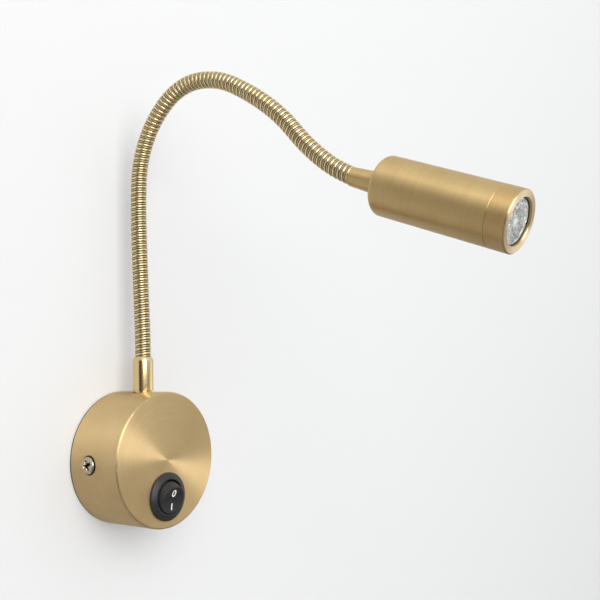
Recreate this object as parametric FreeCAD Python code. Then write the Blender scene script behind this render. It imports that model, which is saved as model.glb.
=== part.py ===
import FreeCAD, Part
import math
import os

os.makedirs("parts", exist_ok=True)

V = FreeCAD.Vector

# Bedside wall reading lamp. Millimetres. The origin is on the wall plane, at the centre of the
# wall plate's back face. +X is right, +Y goes into the wall, +Z is up; the lamp stands out to -Y.

# ---- fits and clearances -------------------------------------------------------------------
PIN_FIT = 0.05          # radial, rocker and see-saw pins in their holes
BALL_FIT = 0.06         # radial, ball end of one neck length in the cup of the next
SLIDE_FIT = 0.10        # radial, parts pushed together by hand
PASS_GAP = 0.30         # radial, a screw or nipple through a plain hole
TAB_FIT = 0.10          # radial, side tabs inside the cover

# ---- wall cover and plate ------------------------------------------------------------------
COVER_D = 65.0
COVER_DEPTH = 30.8
COVER_WALL = 1.2
COVER_EDGE = 0.8        # radius on the front edge
WALL_GAP = 0.7          # the cover's rim stands this far off the wall
FACE_Y = -(WALL_GAP + COVER_DEPTH)
COVER_R = COVER_D / 2
COVER_IN = COVER_R - COVER_WALL
PLATE_GAP = 1.3         # radial, plate to cover
PLATE_R = COVER_IN - PLATE_GAP
PLATE_T = 1.5
TAB_HALF = 6.5          # half width of a side tab
TAB_REACH = 19.5        # how far a tab stands off the wall
TAB_T = 1.8             # tab's thickness at its middle
TAB_IN = COVER_IN - TAB_FIT - TAB_T
INSIDE_HALF = 23.3      # half width kept for the terminal block and the driver
TAB_FOOT = INSIDE_HALF + 0.9    # how near the centre a tab's foot reaches
TAB_FOOT_T = 1.2
SLOT_OFF = 20.0         # wall screw slots, above and below the centre
SLOT_W = 4.6
SLOT_LEN = 10.0         # over its round ends
CABLE_HOLE_R = 5.0
GROMMET_R = 6.2         # flange of the rubber grommet
BESIDE = GROMMET_R + 0.7        # the block and the driver start this far from the middle
SEAL_INSET = 0.4        # foam seal's edge inside the cover's side
SEAL_SLACK = 0.05

# ---- side screws ---------------------------------------------------------------------------
SIDE_Y = -(WALL_GAP + 12.4)
SCREW_R = 2.0           # M4
HEAD_R = 4.0
HEAD_H = 1.9
SPOT_R = 4.5            # spot face in the cover under each head
SPOT_DEPTH = 0.35
SCREW_LEN = COVER_R - SPOT_DEPTH - TAB_FOOT + 0.05   # its tip stays clear of what is inside
NUT_SQ = 7.0
NUT_T = 2.2

# ---- rocker switch -------------------------------------------------------------------------
SW_EDGE = 15.1          # switch centre to the cover's edge
SW_Z = -(COVER_R - SW_EDGE)
SW_BODY_R = 9.9
SW_HOLE_R = SW_BODY_R + 0.2
SW_FLANGE_R = SW_HOLE_R + 1.4
SW_OPEN_R = SW_BODY_R - 1.7     # opening in the flange
SW_FLANGE_TOP_R = SW_OPEN_R + 0.8
SW_FLANGE_H = 2.0
SW_FLANGE_STEP = 0.6    # straight part of the flange's edge
SW_BODY_WALL = 1.1
SW_DEPTH = 16.0
ROCKER_R = SW_OPEN_R - 0.15
ROCKER_TILT = 15.0      # each side of the middle, degrees
ROCKER_PIVOT = 1.3      # pivot depth under the cover's face
ROCKER_TOP = 4.8        # pivot to the middle of the pressed face
ROCKER_DISH = 24.0      # radius of the dished face
ROCKER_SKIRT = 3.0
PIVOT_R = 1.1
PLUNGER_R = 1.4
PLUNGER_TIP = 7.6       # pivot to the plunger's tip
SEESAW_DEPTH = 10.3     # depth of the see-saw's own pivot
SEESAW_BEND = 9.0       # each arm, degrees
BLADE_W = 4.8
BLADE_T = 0.8

# ---- neck ----------------------------------------------------------------------------------
NECK_Y = -(WALL_GAP + 15.0)
FERRULE_R = 5.0
FERRULE_H = 17.0
NIPPLE_R = 5.0          # M10 nipple under the ferrule
NECK_Z = COVER_R + FERRULE_H
NECK_R = 4.0            # over the round wire
NECK_VALLEY = 3.35      # between two turns
NECK_FLANK = 3.85
NECK_BORE = 1.8
LENGTH = 21.9           # one of the twelve lengths, pivot to pivot
RIBS = 9                # turns on each length
BENDS = [-2.9, 0.7, 0.7, 5.0, 24.8, 26.2, 39.0, 25.3, 8.3, 12.8, -11.3, -18.6]
BALL_R = 3.0
GROOVE = 0.493 * LENGTH / RIBS  # pivot to the middle of the groove under it
LEAD_R = 1.25

# ---- head, measured along its own axis from the back face -------------------------------------
HEAD_R_OUT = 12.5
HEAD_LEN = 61.0
BEZEL_LEN = 8.5
BARREL_LEN = HEAD_LEN - BEZEL_LEN
BARREL_WALL = 1.2
BARREL_IN = HEAD_R_OUT - BARREL_WALL
BARREL_BACK = 2.0
BACK_EDGE = 2.5         # radius on the back edge
HF_LEN = 10.0           # head ferrule, from the end of the neck's curve to the head
HF_BACK = 5.5           # and from there back over the plain end of the neck
HF_R0 = 4.05
HF_R1 = 4.85
SINK_LEN = 18.0
SINK_TO = HEAD_LEN - 19.0
SINK_FROM = SINK_TO - SINK_LEN
BOARD_T = 1.6
OPEN_R = HEAD_R_OUT - 3.2       # the bezel's front opening
LENS_R = OPEN_R - 0.4
LENS_DEEP = 13.9
LENS_FRONT = HEAD_LEN - 1.2
LENS_BACK = LENS_FRONT - LENS_DEEP
LIP_T = 1.6
SPIGOT_LEN = 6.0

RAD = math.pi / 180.0
nodes = {}


def solid(shape):
    """One clean solid out of a boolean result."""
    shape = shape.removeSplitter()
    if shape.ShapeType == "Solid":
        return shape
    parts = shape.Solids
    if len(parts) != 1:
        raise ValueError(f"expected one solid, got {len(parts)}")
    return parts[0]


def disc_y(r, y0, y1, x=0.0, z=0.0):
    """Cylinder along Y between two depths."""
    lo, hi = min(y0, y1), max(y0, y1)
    return Part.makeCylinder(r, hi - lo, V(x, lo, z), V(0, 1, 0))


def rod_x(r, x0, x1, y, z):
    """Cylinder along X between two stations."""
    lo, hi = min(x0, x1), max(x0, x1)
    return Part.makeCylinder(r, hi - lo, V(lo, y, z), V(1, 0, 0))


def block(x0, x1, y0, y1, z0, z1):
    """Box between corners."""
    return Part.makeBox(x1 - x0, y1 - y0, z1 - z0, V(x0, y0, z0))


def revolve(points):
    """Solid of revolution about +Z from a closed outline of (radius, height)."""
    face = Part.Face(Part.makePolygon([V(r, 0, h) for r, h in points + points[:1]]))
    return face.revolve(V(0, 0, 0), V(0, 0, 1), 360)


def hexagon(across, height, at, hole):
    """Hexagon nut along +Z, standing on the point at."""
    r = across / math.sqrt(3)
    ring = [V(r * math.cos(k * 60 * RAD), r * math.sin(k * 60 * RAD), 0) for k in range(7)]
    nut = Part.Face(Part.makePolygon(ring)).extrude(V(0, 0, height))
    nut = nut.cut(Part.makeCylinder(hole, height))
    nut.translate(at)
    return nut


def route(points, bend):
    """Path through the points, its corners rounded to the radius bend."""
    pts = [V(*p) for p in points]
    edges, last = [], pts[0]
    for a, b, c in zip(pts, pts[1:], pts[2:]):
        u, v = (a - b).normalize(), (c - b).normalize()
        half = u.getAngle(v) / 2
        cut = bend / math.tan(half)
        p, q = b + u * cut, b + v * cut
        mid = b + (u + v).normalize() * (bend / math.sin(half) - bend)
        edges += [Part.makeLine(last, p), Part.Arc(p, mid, q).toShape()]
        last = q
    edges.append(Part.makeLine(last, pts[-1]))
    return Part.Wire(edges)


def tube(path, r):
    """Round rod along a path."""
    first = path.Edges[0]
    start = first.valueAt(first.FirstParameter)
    along = first.tangentAt(first.FirstParameter)
    ring = Part.Wire(Part.makeCircle(r, start, along))
    return solid(path.makePipeShell([ring], True, False))


# ============================================================================================
# Wall plate: steel disc against the wall.
plate = disc_y(PLATE_R, -PLATE_T, 0)
for side in (-1, 1):
    slot_z = side * SLOT_OFF
    reach = (SLOT_LEN - SLOT_W) / 2
    plate = plate.cut(block(-SLOT_W / 2, SLOT_W / 2, -PLATE_T, 0, slot_z - reach, slot_z + reach))
    for end in (-reach, reach):
        plate = plate.cut(disc_y(SLOT_W / 2, -PLATE_T, 0, 0, slot_z + end))
plate = plate.cut(disc_y(CABLE_HOLE_R, -PLATE_T, 0))

# Holes for the earth screw, the terminal block's screw and the driver's screw.
EARTH = (-14.0, -15.0)
TB_X0, TB_X1 = 0.8 - INSIDE_HALF, -BESIDE
BLOCK_FIX = ((TB_X0 + TB_X1) / 2, 1.25)
DRIVER_FIX = (15.0, -10.5)
SMALL_TAP = 1.45        # M3 screws cut their own thread
for x, z in (EARTH, BLOCK_FIX, DRIVER_FIX):
    plate = plate.cut(disc_y(SMALL_TAP, -PLATE_T, 0, x, z))
nodes["wall_plate"] = solid(plate)

# Side tabs: two angle brackets spot welded on the plate, bent forward for the cover's screws.
tab_ring = disc_y(COVER_IN - TAB_FIT, -TAB_REACH, -PLATE_T)
tabs = []
for side in (-1, 1):
    x0, x1 = sorted((side * TAB_IN, side * COVER_IN))
    tab = tab_ring.common(block(x0, x1, -TAB_REACH, -PLATE_T, -TAB_HALF, TAB_HALF))
    x0, x1 = sorted((side * TAB_FOOT, side * TAB_IN))
    tab = tab.fuse(block(x0, x1, -PLATE_T - TAB_FOOT_T, -PLATE_T, -TAB_HALF, TAB_HALF))
    tab = tab.cut(rod_x(SCREW_R + PASS_GAP, side * TAB_FOOT, side * COVER_R, SIDE_Y, 0))
    tabs.append(solid(tab))
nodes["side_tabs"] = Part.makeCompound(tabs)

# Square weld nuts behind the tabs.
nuts = []
for side in (-1, 1):
    x0, x1 = sorted((side * TAB_IN, side * (TAB_IN - NUT_T)))
    nut = block(x0, x1, SIDE_Y - NUT_SQ / 2, SIDE_Y + NUT_SQ / 2, -NUT_SQ / 2, NUT_SQ / 2)
    nuts.append(nut.cut(rod_x(SCREW_R + 0.02, x0, x1, SIDE_Y, 0)))
nodes["tab_nuts"] = Part.makeCompound(nuts)

# Rubber grommet in the cable entry.
GROMMET_BORE = 3.3
grommet = disc_y(CABLE_HOLE_R, -PLATE_T, 0)
grommet = grommet.fuse(disc_y(GROMMET_R, -PLATE_T - 1.4, -PLATE_T))
nodes["cable_grommet"] = solid(grommet.cut(disc_y(GROMMET_BORE, -PLATE_T - 1.4, 0)))

# Foam seal between the cover's rim and the wall, set in a little from the cover's side.
seal = disc_y(COVER_R - SEAL_INSET, -WALL_GAP + SEAL_SLACK, 0)
nodes["wall_seal"] = solid(seal.cut(disc_y(PLATE_R + SEAL_SLACK, -WALL_GAP, 0)))

# ============================================================================================
# Cover: a deep drawn cup, closed at the front, its rim towards the wall.
cover = disc_y(COVER_R, FACE_Y, -WALL_GAP)
front_edge = [e for e in cover.Edges
              if abs(e.BoundBox.YMax - FACE_Y) < 1e-6 and e.BoundBox.XLength > COVER_R]
cover = cover.makeFillet(COVER_EDGE, front_edge)
cover = cover.cut(disc_y(COVER_IN, FACE_Y + COVER_WALL, -WALL_GAP))
cover = cover.cut(disc_y(SW_HOLE_R, FACE_Y, FACE_Y + COVER_WALL, 0, SW_Z))
cover = cover.cut(Part.makeCylinder(NIPPLE_R + PASS_GAP, 6, V(0, NECK_Y, COVER_IN - 3)))
for side in (-1, 1):
    cover = cover.cut(rod_x(SCREW_R + PASS_GAP, side * TAB_FOOT, side * (COVER_R + 3), SIDE_Y, 0))
    cover = cover.cut(rod_x(SPOT_R, side * (COVER_R - SPOT_DEPTH), side * (COVER_R + 3), SIDE_Y, 0))
nodes["base_cover"] = solid(cover)

# Two pan head side screws with a cross recess.
screws = []
for side in (-1, 1):
    head = revolve([(0, 0), (HEAD_R, 0), (HEAD_R, HEAD_H * 0.45), (HEAD_R * 0.9, HEAD_H * 0.75),
                    (HEAD_R * 0.62, HEAD_H * 0.95), (HEAD_R * 0.3, HEAD_H), (0, HEAD_H)])
    for turn in (25, 115):
        arm = Part.makeBox(4.4, 0.8, 1.1, V(-2.2, -0.4, HEAD_H - 1.0))
        arm.rotate(V(0, 0, 0), V(0, 0, 1), turn)
        head = head.cut(arm)
    screw = head.fuse(Part.makeCylinder(SCREW_R, SCREW_LEN, V(0, 0, -SCREW_LEN)))
    screw.rotate(V(0, 0, 0), V(0, 1, 0), 90 * side)
    screw.translate(V(side * (COVER_R - SPOT_DEPTH), SIDE_Y, 0))
    screws.append(solid(screw))
nodes["side_screws"] = Part.makeCompound(screws)

# ============================================================================================
# Rocker switch. Depths are counted from the cover's face, outwards positive.
def depth(p):
    return FACE_Y - p


flange = Part.makeCone(SW_FLANGE_R, SW_FLANGE_TOP_R, SW_FLANGE_H - SW_FLANGE_STEP)
flange.translate(V(0, 0, SW_FLANGE_STEP))
flange = flange.fuse(Part.makeCylinder(SW_FLANGE_R, SW_FLANGE_STEP))
housing = flange.fuse(Part.makeCylinder(SW_BODY_R, SW_DEPTH, V(0, 0, -SW_DEPTH)))
cavity = Part.makeCylinder(SW_OPEN_R, SW_DEPTH, V(0, 0, -SW_DEPTH + SW_BODY_WALL))
housing = housing.cut(cavity.fuse(Part.makeCylinder(SW_OPEN_R, 3)))
for side in (-1, 1):
    lug = Part.Face(Part.makePolygon([V(SW_BODY_R - 0.4, -2, -COVER_WALL - 0.05),
                                      V(SW_BODY_R + 0.9, -2, -COVER_WALL - 0.05),
                                      V(SW_BODY_R - 0.2, -2, -COVER_WALL - 4.5),
                                      V(SW_BODY_R - 0.4, -2, -COVER_WALL - 4.5),
                                      V(SW_BODY_R - 0.4, -2, -COVER_WALL - 0.05)]))
    lug = lug.extrude(V(0, 4, 0))
    if side < 0:
        lug.rotate(V(0, 0, 0), V(0, 0, 1), 180)
    housing = housing.fuse(lug)
pin_hole = Part.makeCylinder(PIVOT_R + PIN_FIT, 2 * SW_BODY_R - 0.6,
                             V(-SW_BODY_R + 0.3, 0, -ROCKER_PIVOT), V(1, 0, 0))
housing = housing.cut(pin_hole)
# blade slots through the floor, one at the see-saw's pivot and one at its upper end
LINE_BLADE = 0.0
LOAD_BLADE = SW_OPEN_R - 1.6
for at in (LINE_BLADE, LOAD_BLADE):
    housing = housing.cut(Part.makeBox(BLADE_W + 0.1, BLADE_T + 0.1, 3,
                                       V(-BLADE_W / 2 - 0.05, at - BLADE_T / 2 - 0.05, -SW_DEPTH - 1)))


def to_switch(shape):
    """From the switch's own frame (outwards +Z, up +Y) to its place in the cover."""
    out = shape.copy()
    out.rotate(V(0, 0, 0), V(1, 0, 0), 90)
    out.translate(V(0, FACE_Y, SW_Z))
    return out


nodes["switch_housing"] = solid(to_switch(housing))

# Rocker, built level and then tilted: dished pressing face, round sides, two pivot pins.
outline = Part.makePolygon([V(0, -9, -ROCKER_SKIRT), V(0, 9, -ROCKER_SKIRT), V(0, 9, 9),
                            V(0, -9, 9), V(0, -9, -ROCKER_SKIRT)])
rocker = Part.Face(outline).extrude(V(20, 0, 0))
rocker.translate(V(-10, 0, 0))
rocker = rocker.cut(Part.makeCylinder(ROCKER_DISH, 20, V(-10, 0, ROCKER_TOP + ROCKER_DISH), V(1, 0, 0)))
for tilt in (-ROCKER_TILT, 0, ROCKER_TILT):
    round_side = Part.makeCylinder(ROCKER_R, 40, V(0, 0, -20))
    round_side.rotate(V(0, 0, 0), V(1, 0, 0), tilt)
    rocker = rocker.common(round_side)
hollow = Part.makeCylinder(ROCKER_R - 1.65, ROCKER_SKIRT + 2.2, V(0, 0, -ROCKER_SKIRT))
hollow = hollow.cut(Part.makeCylinder(2.9, ROCKER_SKIRT + 2.2, V(0, 0, -ROCKER_SKIRT)))
rocker = rocker.cut(hollow)
rocker = rocker.cut(Part.makeCylinder(PLUNGER_R + SLIDE_FIT, ROCKER_SKIRT + 2.5, V(0, 0, -ROCKER_SKIRT)))
for side in (-1, 1):
    rocker = rocker.fuse(Part.makeCylinder(PIVOT_R, SW_BODY_R - ROCKER_R + 0.55,
                                           V(side * (ROCKER_R - 1.15), 0, 0), V(side, 0, 0)))
plunger = Part.makeCylinder(PLUNGER_R, 5.6, V(0, 0, -PLUNGER_TIP + PLUNGER_R))
plunger = plunger.fuse(Part.makeSphere(PLUNGER_R, V(0, 0, -PLUNGER_TIP + PLUNGER_R)))
SPRING_FROM = -PLUNGER_TIP + PLUNGER_R + 5.6
spring = Part.makeCylinder(PLUNGER_R - 0.1, 2.5 - SPRING_FROM, V(0, 0, SPRING_FROM))
spring = spring.cut(Part.makeCylinder(PLUNGER_R - 0.6, 2.5 - SPRING_FROM, V(0, 0, SPRING_FROM)))


def to_rocker(shape):
    """At rest the lower, I side is pressed in, so the upper side stands out."""
    out = shape.copy()
    out.rotate(V(0, 0, 0), V(1, 0, 0), ROCKER_TILT)
    out.translate(V(0, 0, -ROCKER_PIVOT))
    return to_switch(out)


nodes["switch_rocker"] = solid(to_rocker(rocker))
nodes["switch_plunger"] = solid(to_rocker(plunger))
nodes["switch_spring"] = solid(to_rocker(spring))

# See-saw contact: two arms bent up, one rivet, rocking on the line blade's round edge.
ARM_LEN, ARM_W, ARM_T = SW_OPEN_R - 1.2, 3.6, 0.6
TOP_ABOVE = 1.3         # the strip's upper face over its own pivot
rise, run = math.sin(SEESAW_BEND * RAD), math.cos(SEESAW_BEND * RAD)
strip = [(-ARM_LEN * run, ARM_LEN * rise), (0, 0), (ARM_LEN * run, ARM_LEN * rise),
         (ARM_LEN * run + ARM_T * rise, ARM_LEN * rise - ARM_T * run), (0, -ARM_T / run),
         (-ARM_LEN * run - ARM_T * rise, ARM_LEN * rise - ARM_T * run)]
strip = [V(-ARM_W / 2, y, TOP_ABOVE + z) for y, z in strip + strip[:1]]
seesaw = Part.Face(Part.makePolygon(strip)).extrude(V(ARM_W, 0, 0))
for side in (-1, 1):
    cheek = Part.makeCylinder(1.0, 0.5, V(side * 1.55 - 0.25, 0, 0), V(1, 0, 0))
    cheek = cheek.fuse(Part.makeBox(0.5, 1.6, TOP_ABOVE - ARM_T / 2, V(side * 1.55 - 0.25, -0.8, 0)))
    seesaw = seesaw.fuse(cheek)
PIN_R = 0.5
seesaw = seesaw.cut(Part.makeCylinder(PIN_R + PIN_FIT, 6, V(-3, 0, 0), V(1, 0, 0)))
rivet = Part.makeCylinder(1.1, 0.7, V(0, ARM_LEN - 1.4, -ARM_T - 0.6))
rivet.rotate(V(0, 0, 0), V(1, 0, 0), SEESAW_BEND)
rivet.translate(V(0, 0, TOP_ABOVE))
seesaw = seesaw.fuse(rivet)
closed = seesaw.copy()
closed.rotate(V(0, 0, 0), V(1, 0, 0), -SEESAW_BEND)
closed.translate(V(0, 0, -SEESAW_DEPTH))
nodes["switch_seesaw"] = solid(to_switch(closed))

# Fixed blades: the line blade carries the see-saw on a cross pin, the load blade carries a rivet.
BLADE_OUT = 7.0
line = Part.makeBox(2.4, BLADE_T, SW_DEPTH + BLADE_OUT - SEESAW_DEPTH + 0.3,
                    V(-1.2, LINE_BLADE - BLADE_T / 2, -SW_DEPTH - BLADE_OUT))
line = line.fuse(Part.makeBox(BLADE_W, BLADE_T, BLADE_OUT + 1.6,
                              V(-BLADE_W / 2, LINE_BLADE - BLADE_T / 2, -SW_DEPTH - BLADE_OUT)))
line = line.fuse(Part.makeCylinder(PIN_R, 4.0, V(-2.0, 0, -SEESAW_DEPTH), V(1, 0, 0)))
seat = TOP_ABOVE - ARM_T - 0.6 - SEESAW_DEPTH - 0.05
load = Part.makeBox(BLADE_W, BLADE_T, SW_DEPTH + BLADE_OUT + seat - 0.9,
                    V(-BLADE_W / 2, LOAD_BLADE - BLADE_T / 2, -SW_DEPTH - BLADE_OUT))
load = load.fuse(Part.makeBox(BLADE_W, 2.9, BLADE_T,
                              V(-BLADE_W / 2, LOAD_BLADE + BLADE_T / 2 - 2.9, seat - 0.9 - BLADE_T)))
load = load.fuse(Part.makeCylinder(1.1, 0.9, V(0, ARM_LEN - 1.4, seat - 0.9)))
nodes["switch_blades"] = Part.makeCompound([solid(to_switch(line)), solid(to_switch(load))])

# ============================================================================================
# Base ferrule: turned brass sleeve with a threaded nipple through the cover, washer and nut.
NIPPLE_LEN = 8.0
STUB_R = 3.3            # plain end of the neck inside the ferrule
STUB_LEN = 9.0
ferrule = revolve([(0, -NIPPLE_LEN), (NIPPLE_R - 0.5, -NIPPLE_LEN), (NIPPLE_R - 0.1, -NIPPLE_LEN + 0.5),
                   (NIPPLE_R - 0.1, 0), (FERRULE_R, 0), (FERRULE_R, FERRULE_H - 0.6),
                   (FERRULE_R - 0.6, FERRULE_H), (0, FERRULE_H)])
ferrule = ferrule.cut(Part.makeCylinder(NECK_BORE, NIPPLE_LEN + FERRULE_H + 2, V(0, 0, -NIPPLE_LEN - 1)))
ferrule = ferrule.cut(Part.makeCylinder(STUB_R + SLIDE_FIT, STUB_LEN, V(0, 0, FERRULE_H - STUB_LEN)))
ferrule.translate(V(0, NECK_Y, COVER_R))
nodes["base_ferrule"] = solid(ferrule)

WASHER_T = 1.0
sag = COVER_IN - math.sqrt(COVER_IN ** 2 - 7.5 ** 2)
washer = Part.makeCylinder(7.5, WASHER_T).cut(Part.makeCylinder(NIPPLE_R + 0.1, WASHER_T))
washer.translate(V(0, NECK_Y, COVER_IN - sag - WASHER_T))
nodes["base_lock_washer"] = solid(washer)
NUT_H = 3.0
nodes["base_lock_nut"] = solid(hexagon(14.0, NUT_H, V(0, NECK_Y, COVER_IN - sag - WASHER_T - NUT_H),
                                       NIPPLE_R - 0.05))

# ============================================================================================
# Neck: round wire wound to a tube, divided into twelve lengths. The upper end of each is a ball
# on the pivot to the next, and the lower end of each next one is the cup that turns on it.
start_y, start_z, start_phi = [NECK_Y], [NECK_Z], [0.0]


def station(i, s):
    """Centre (y, z) and lean from +Z towards -Y, in degrees, at distance s along length i."""
    bend = BENDS[i] * RAD
    phi0 = start_phi[i] * RAD
    curve = bend / LENGTH
    phi = phi0 + curve * s
    y = start_y[i] + (math.cos(phi) - math.cos(phi0)) / curve
    z = start_z[i] + (math.sin(phi) - math.sin(phi0)) / curve
    return y, z, phi / RAD


for i in range(len(BENDS)):
    y, z, phi = station(i, LENGTH)
    start_y.append(y)
    start_z.append(z)
    start_phi.append(phi)


def ring(i, s, r):
    """Circle across the neck; its start point is always at +X."""
    y, z, phi = station(i, s)
    edge = Part.makeCircle(r)
    edge.Placement = FreeCAD.Placement(V(0, y, z), FreeCAD.Rotation(V(1, 0, 0), phi))
    return Part.Wire(edge)


def centre_arc(i, s0, s1):
    """The centreline of length i between two distances."""
    p = [V(0, *station(i, s)[:2]) for s in (s0, (s0 + s1) / 2, s1)]
    return Part.Arc(*p).toShape()


PITCH = LENGTH / RIBS
PROFILE = [(0.0, NECK_VALLEY), (0.22, NECK_FLANK), (0.5, NECK_R), (0.78, NECK_FLANK)]
LAST = len(BENDS) - 1
END_STUB_R = 2.6        # plain end of the neck inside the head ferrule
END_STUB = 6.0
END_ROOM = 0.45         # round that end where it still curves, and behind the ferrule
for i in range(len(BENDS)):
    rings = []
    last = LENGTH - HF_BACK - END_ROOM if i == LAST else LENGTH
    for k in range(RIBS + (1 if i == LAST else 0)):
        for part, r in PROFILE:
            s = -GROOVE + (k + part) * PITCH
            first = 0.0 if i == 0 else -GROOVE + 0.2 * PITCH
            if first <= s <= last:
                rings.append(ring(i, s, r))
    length = Part.makeLoft(rings, True, True)
    pivot = V(0, start_y[i + 1], start_z[i + 1])
    foot = V(0, start_y[i], start_z[i])
    if i == LAST:
        d = V(0, -math.sin(start_phi[i + 1] * RAD), math.cos(start_phi[i + 1] * RAD))
        length = length.fuse(tube(Part.Wire(centre_arc(i, last - PITCH, LENGTH)), END_STUB_R))
        length = length.fuse(Part.makeCylinder(END_STUB_R, END_STUB, pivot, d))
    else:
        length = length.fuse(Part.makeSphere(BALL_R, pivot))
    if i == 0:
        length = length.fuse(Part.makeCylinder(STUB_R, STUB_LEN + 0.5, foot - V(0, 0, STUB_LEN)))
    else:
        length = length.cut(Part.makeSphere(BALL_R + BALL_FIT, foot))
    bore = tube(Part.Wire(centre_arc(i, -0.5 if i else 0.0, LENGTH)), NECK_BORE)
    d = V(0, -math.sin(start_phi[i + 1] * RAD), math.cos(start_phi[i + 1] * RAD))
    length = length.cut(bore).cut(Part.makeCylinder(NECK_BORE, 8, pivot, d))
    if i == 0:
        length = length.cut(Part.makeCylinder(NECK_BORE, 12, foot - V(0, 0, 12)))
    nodes[f"neck_{i + 1:02d}"] = solid(length)

# ============================================================================================
# Head, built along +Z from its back face and then laid along the neck's last direction.
HEAD_PHI = start_phi[-1]
neck_end = V(0, start_y[-1], start_z[-1])
head_dir = V(0, -math.sin(HEAD_PHI * RAD), math.cos(HEAD_PHI * RAD))
head_back = neck_end + head_dir * HF_LEN


def to_head(shape):
    out = shape.copy()
    out.rotate(V(0, 0, 0), V(1, 0, 0), HEAD_PHI)
    out.translate(head_back)
    return out


HN_R = 4.0              # M8 nipple
HN_LEN = 7.5
HF_END = -HF_LEN - HF_BACK
hf = revolve([(0, HF_END), (HF_R0, HF_END), (HF_R1, 0), (HN_R - 0.1, 0), (HN_R - 0.1, HN_LEN), (0, HN_LEN)])
hf = hf.cut(Part.makeCylinder(NECK_BORE, HF_LEN + HN_LEN + 2, V(0, 0, -HF_LEN - 1)))
hf = hf.cut(Part.makeCylinder(END_STUB_R + SLIDE_FIT, END_STUB, V(0, 0, -HF_LEN)))
hf = hf.cut(Part.makeCylinder(END_STUB_R + END_ROOM, HF_BACK, V(0, 0, HF_END)))
nodes["head_ferrule"] = solid(to_head(hf))
hw = Part.makeCylinder(7.0, 0.8, V(0, 0, BARREL_BACK)).cut(Part.makeCylinder(HN_R + 0.1, 5))
nodes["head_lock_washer"] = solid(to_head(hw))
nodes["head_lock_nut"] = solid(to_head(hexagon(12.0, 3.0, V(0, 0, BARREL_BACK + 0.8), HN_R - 0.05)))

# Barrel: turned brass tube, closed at the back, its front edge meeting the bezel.
barrel = Part.makeCylinder(HEAD_R_OUT, BARREL_LEN)
back_edge = [e for e in barrel.Edges if abs(e.BoundBox.ZMax) < 1e-6 and e.BoundBox.XLength > HEAD_R_OUT]
barrel = barrel.makeFillet(BACK_EDGE, back_edge)
barrel = barrel.cut(Part.makeCylinder(BARREL_IN, BARREL_LEN, V(0, 0, BARREL_BACK)))
barrel = barrel.cut(Part.makeCylinder(HN_R + 0.1, 10, V(0, 0, -3)))
SEAM = 0.15             # fine groove on each side of the bezel seam
chamfer = revolve([(HEAD_R_OUT - SEAM, BARREL_LEN), (HEAD_R_OUT + 1, BARREL_LEN),
                   (HEAD_R_OUT + 1, BARREL_LEN - SEAM), (HEAD_R_OUT, BARREL_LEN - SEAM)])
nodes["head_barrel"] = solid(to_head(barrel.cut(chamfer)))

# Bezel: screwed into the barrel by its spigot, its front lip holding the lens.
SPIGOT_IN = BARREL_IN - 0.9
bezel = revolve([(SPIGOT_IN, BARREL_LEN - SPIGOT_LEN), (BARREL_IN - SLIDE_FIT, BARREL_LEN - SPIGOT_LEN),
                 (BARREL_IN - SLIDE_FIT, BARREL_LEN), (HEAD_R_OUT - SEAM, BARREL_LEN),
                 (HEAD_R_OUT, BARREL_LEN + SEAM), (HEAD_R_OUT, HEAD_LEN - 0.5),
                 (HEAD_R_OUT - 0.5, HEAD_LEN), (OPEN_R + 0.35, HEAD_LEN), (OPEN_R, HEAD_LEN - 0.35),
                 (OPEN_R, HEAD_LEN - LIP_T), (SPIGOT_IN, HEAD_LEN - LIP_T)])
nodes["front_bezel"] = solid(to_head(bezel))

# Heat sink: aluminium slug with cooling grooves and a channel for the two cores.
sink = Part.makeCylinder(BARREL_IN - SLIDE_FIT, SINK_TO - SINK_FROM, V(0, 0, SINK_FROM))
for k in range(5):
    t = SINK_FROM + 2.0 + k * 2.6
    sink = sink.cut(revolve([(BARREL_IN - 3.3, t), (BARREL_IN + 1, t),
                             (BARREL_IN + 1, t + 1.4), (BARREL_IN - 3.3, t + 1.4)]))
HOLDER_R = BARREL_IN - 1.05
HOLDER_IN = HOLDER_R - 1.05
BOARD_R = HOLDER_IN - 1.0
CHANNEL_Y = BOARD_R - 3.0
sink = sink.cut(Part.makeCylinder(1.9, SINK_LEN + 2, V(0, CHANNEL_Y, SINK_FROM - 1)))
BOARD_FIX = BOARD_R - 2.0
for side in (-1, 1):
    sink = sink.cut(Part.makeCylinder(0.95, 5, V(side * BOARD_FIX, 0, SINK_TO - 5)))
nodes["heat_sink"] = solid(to_head(sink))

board = Part.makeCylinder(BOARD_R, BOARD_T, V(0, 0, SINK_TO))
board = board.cut(Part.makeCylinder(1.6, BOARD_T + 2, V(0, CHANNEL_Y, SINK_TO - 1)))
for side in (-1, 1):
    board = board.cut(Part.makeCylinder(1.15, BOARD_T + 2, V(side * BOARD_FIX, 0, SINK_TO - 1)))
nodes["led_board"] = solid(to_head(board))
fix = []
for side in (-1, 1):
    s = Part.makeCylinder(0.9, 5.5, V(side * BOARD_FIX, 0, SINK_TO + BOARD_T - 5.5))
    s = s.fuse(Part.makeCylinder(1.7, 1.0, V(side * BOARD_FIX, 0, SINK_TO + BOARD_T)))
    fix.append(solid(to_head(s)))
nodes["board_screws"] = Part.makeCompound(fix)
chip_z = SINK_TO + BOARD_T
chip = Part.makeBox(3.4, 3.4, 0.7, V(-1.7, -1.7, chip_z))
dome = Part.makeSphere(1.4, V(0, 0, chip_z + 0.7)).common(Part.makeBox(4, 4, 3, V(-2, -2, chip_z + 0.7)))
nodes["led_emitter"] = solid(to_head(chip.fuse(dome)))

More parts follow.
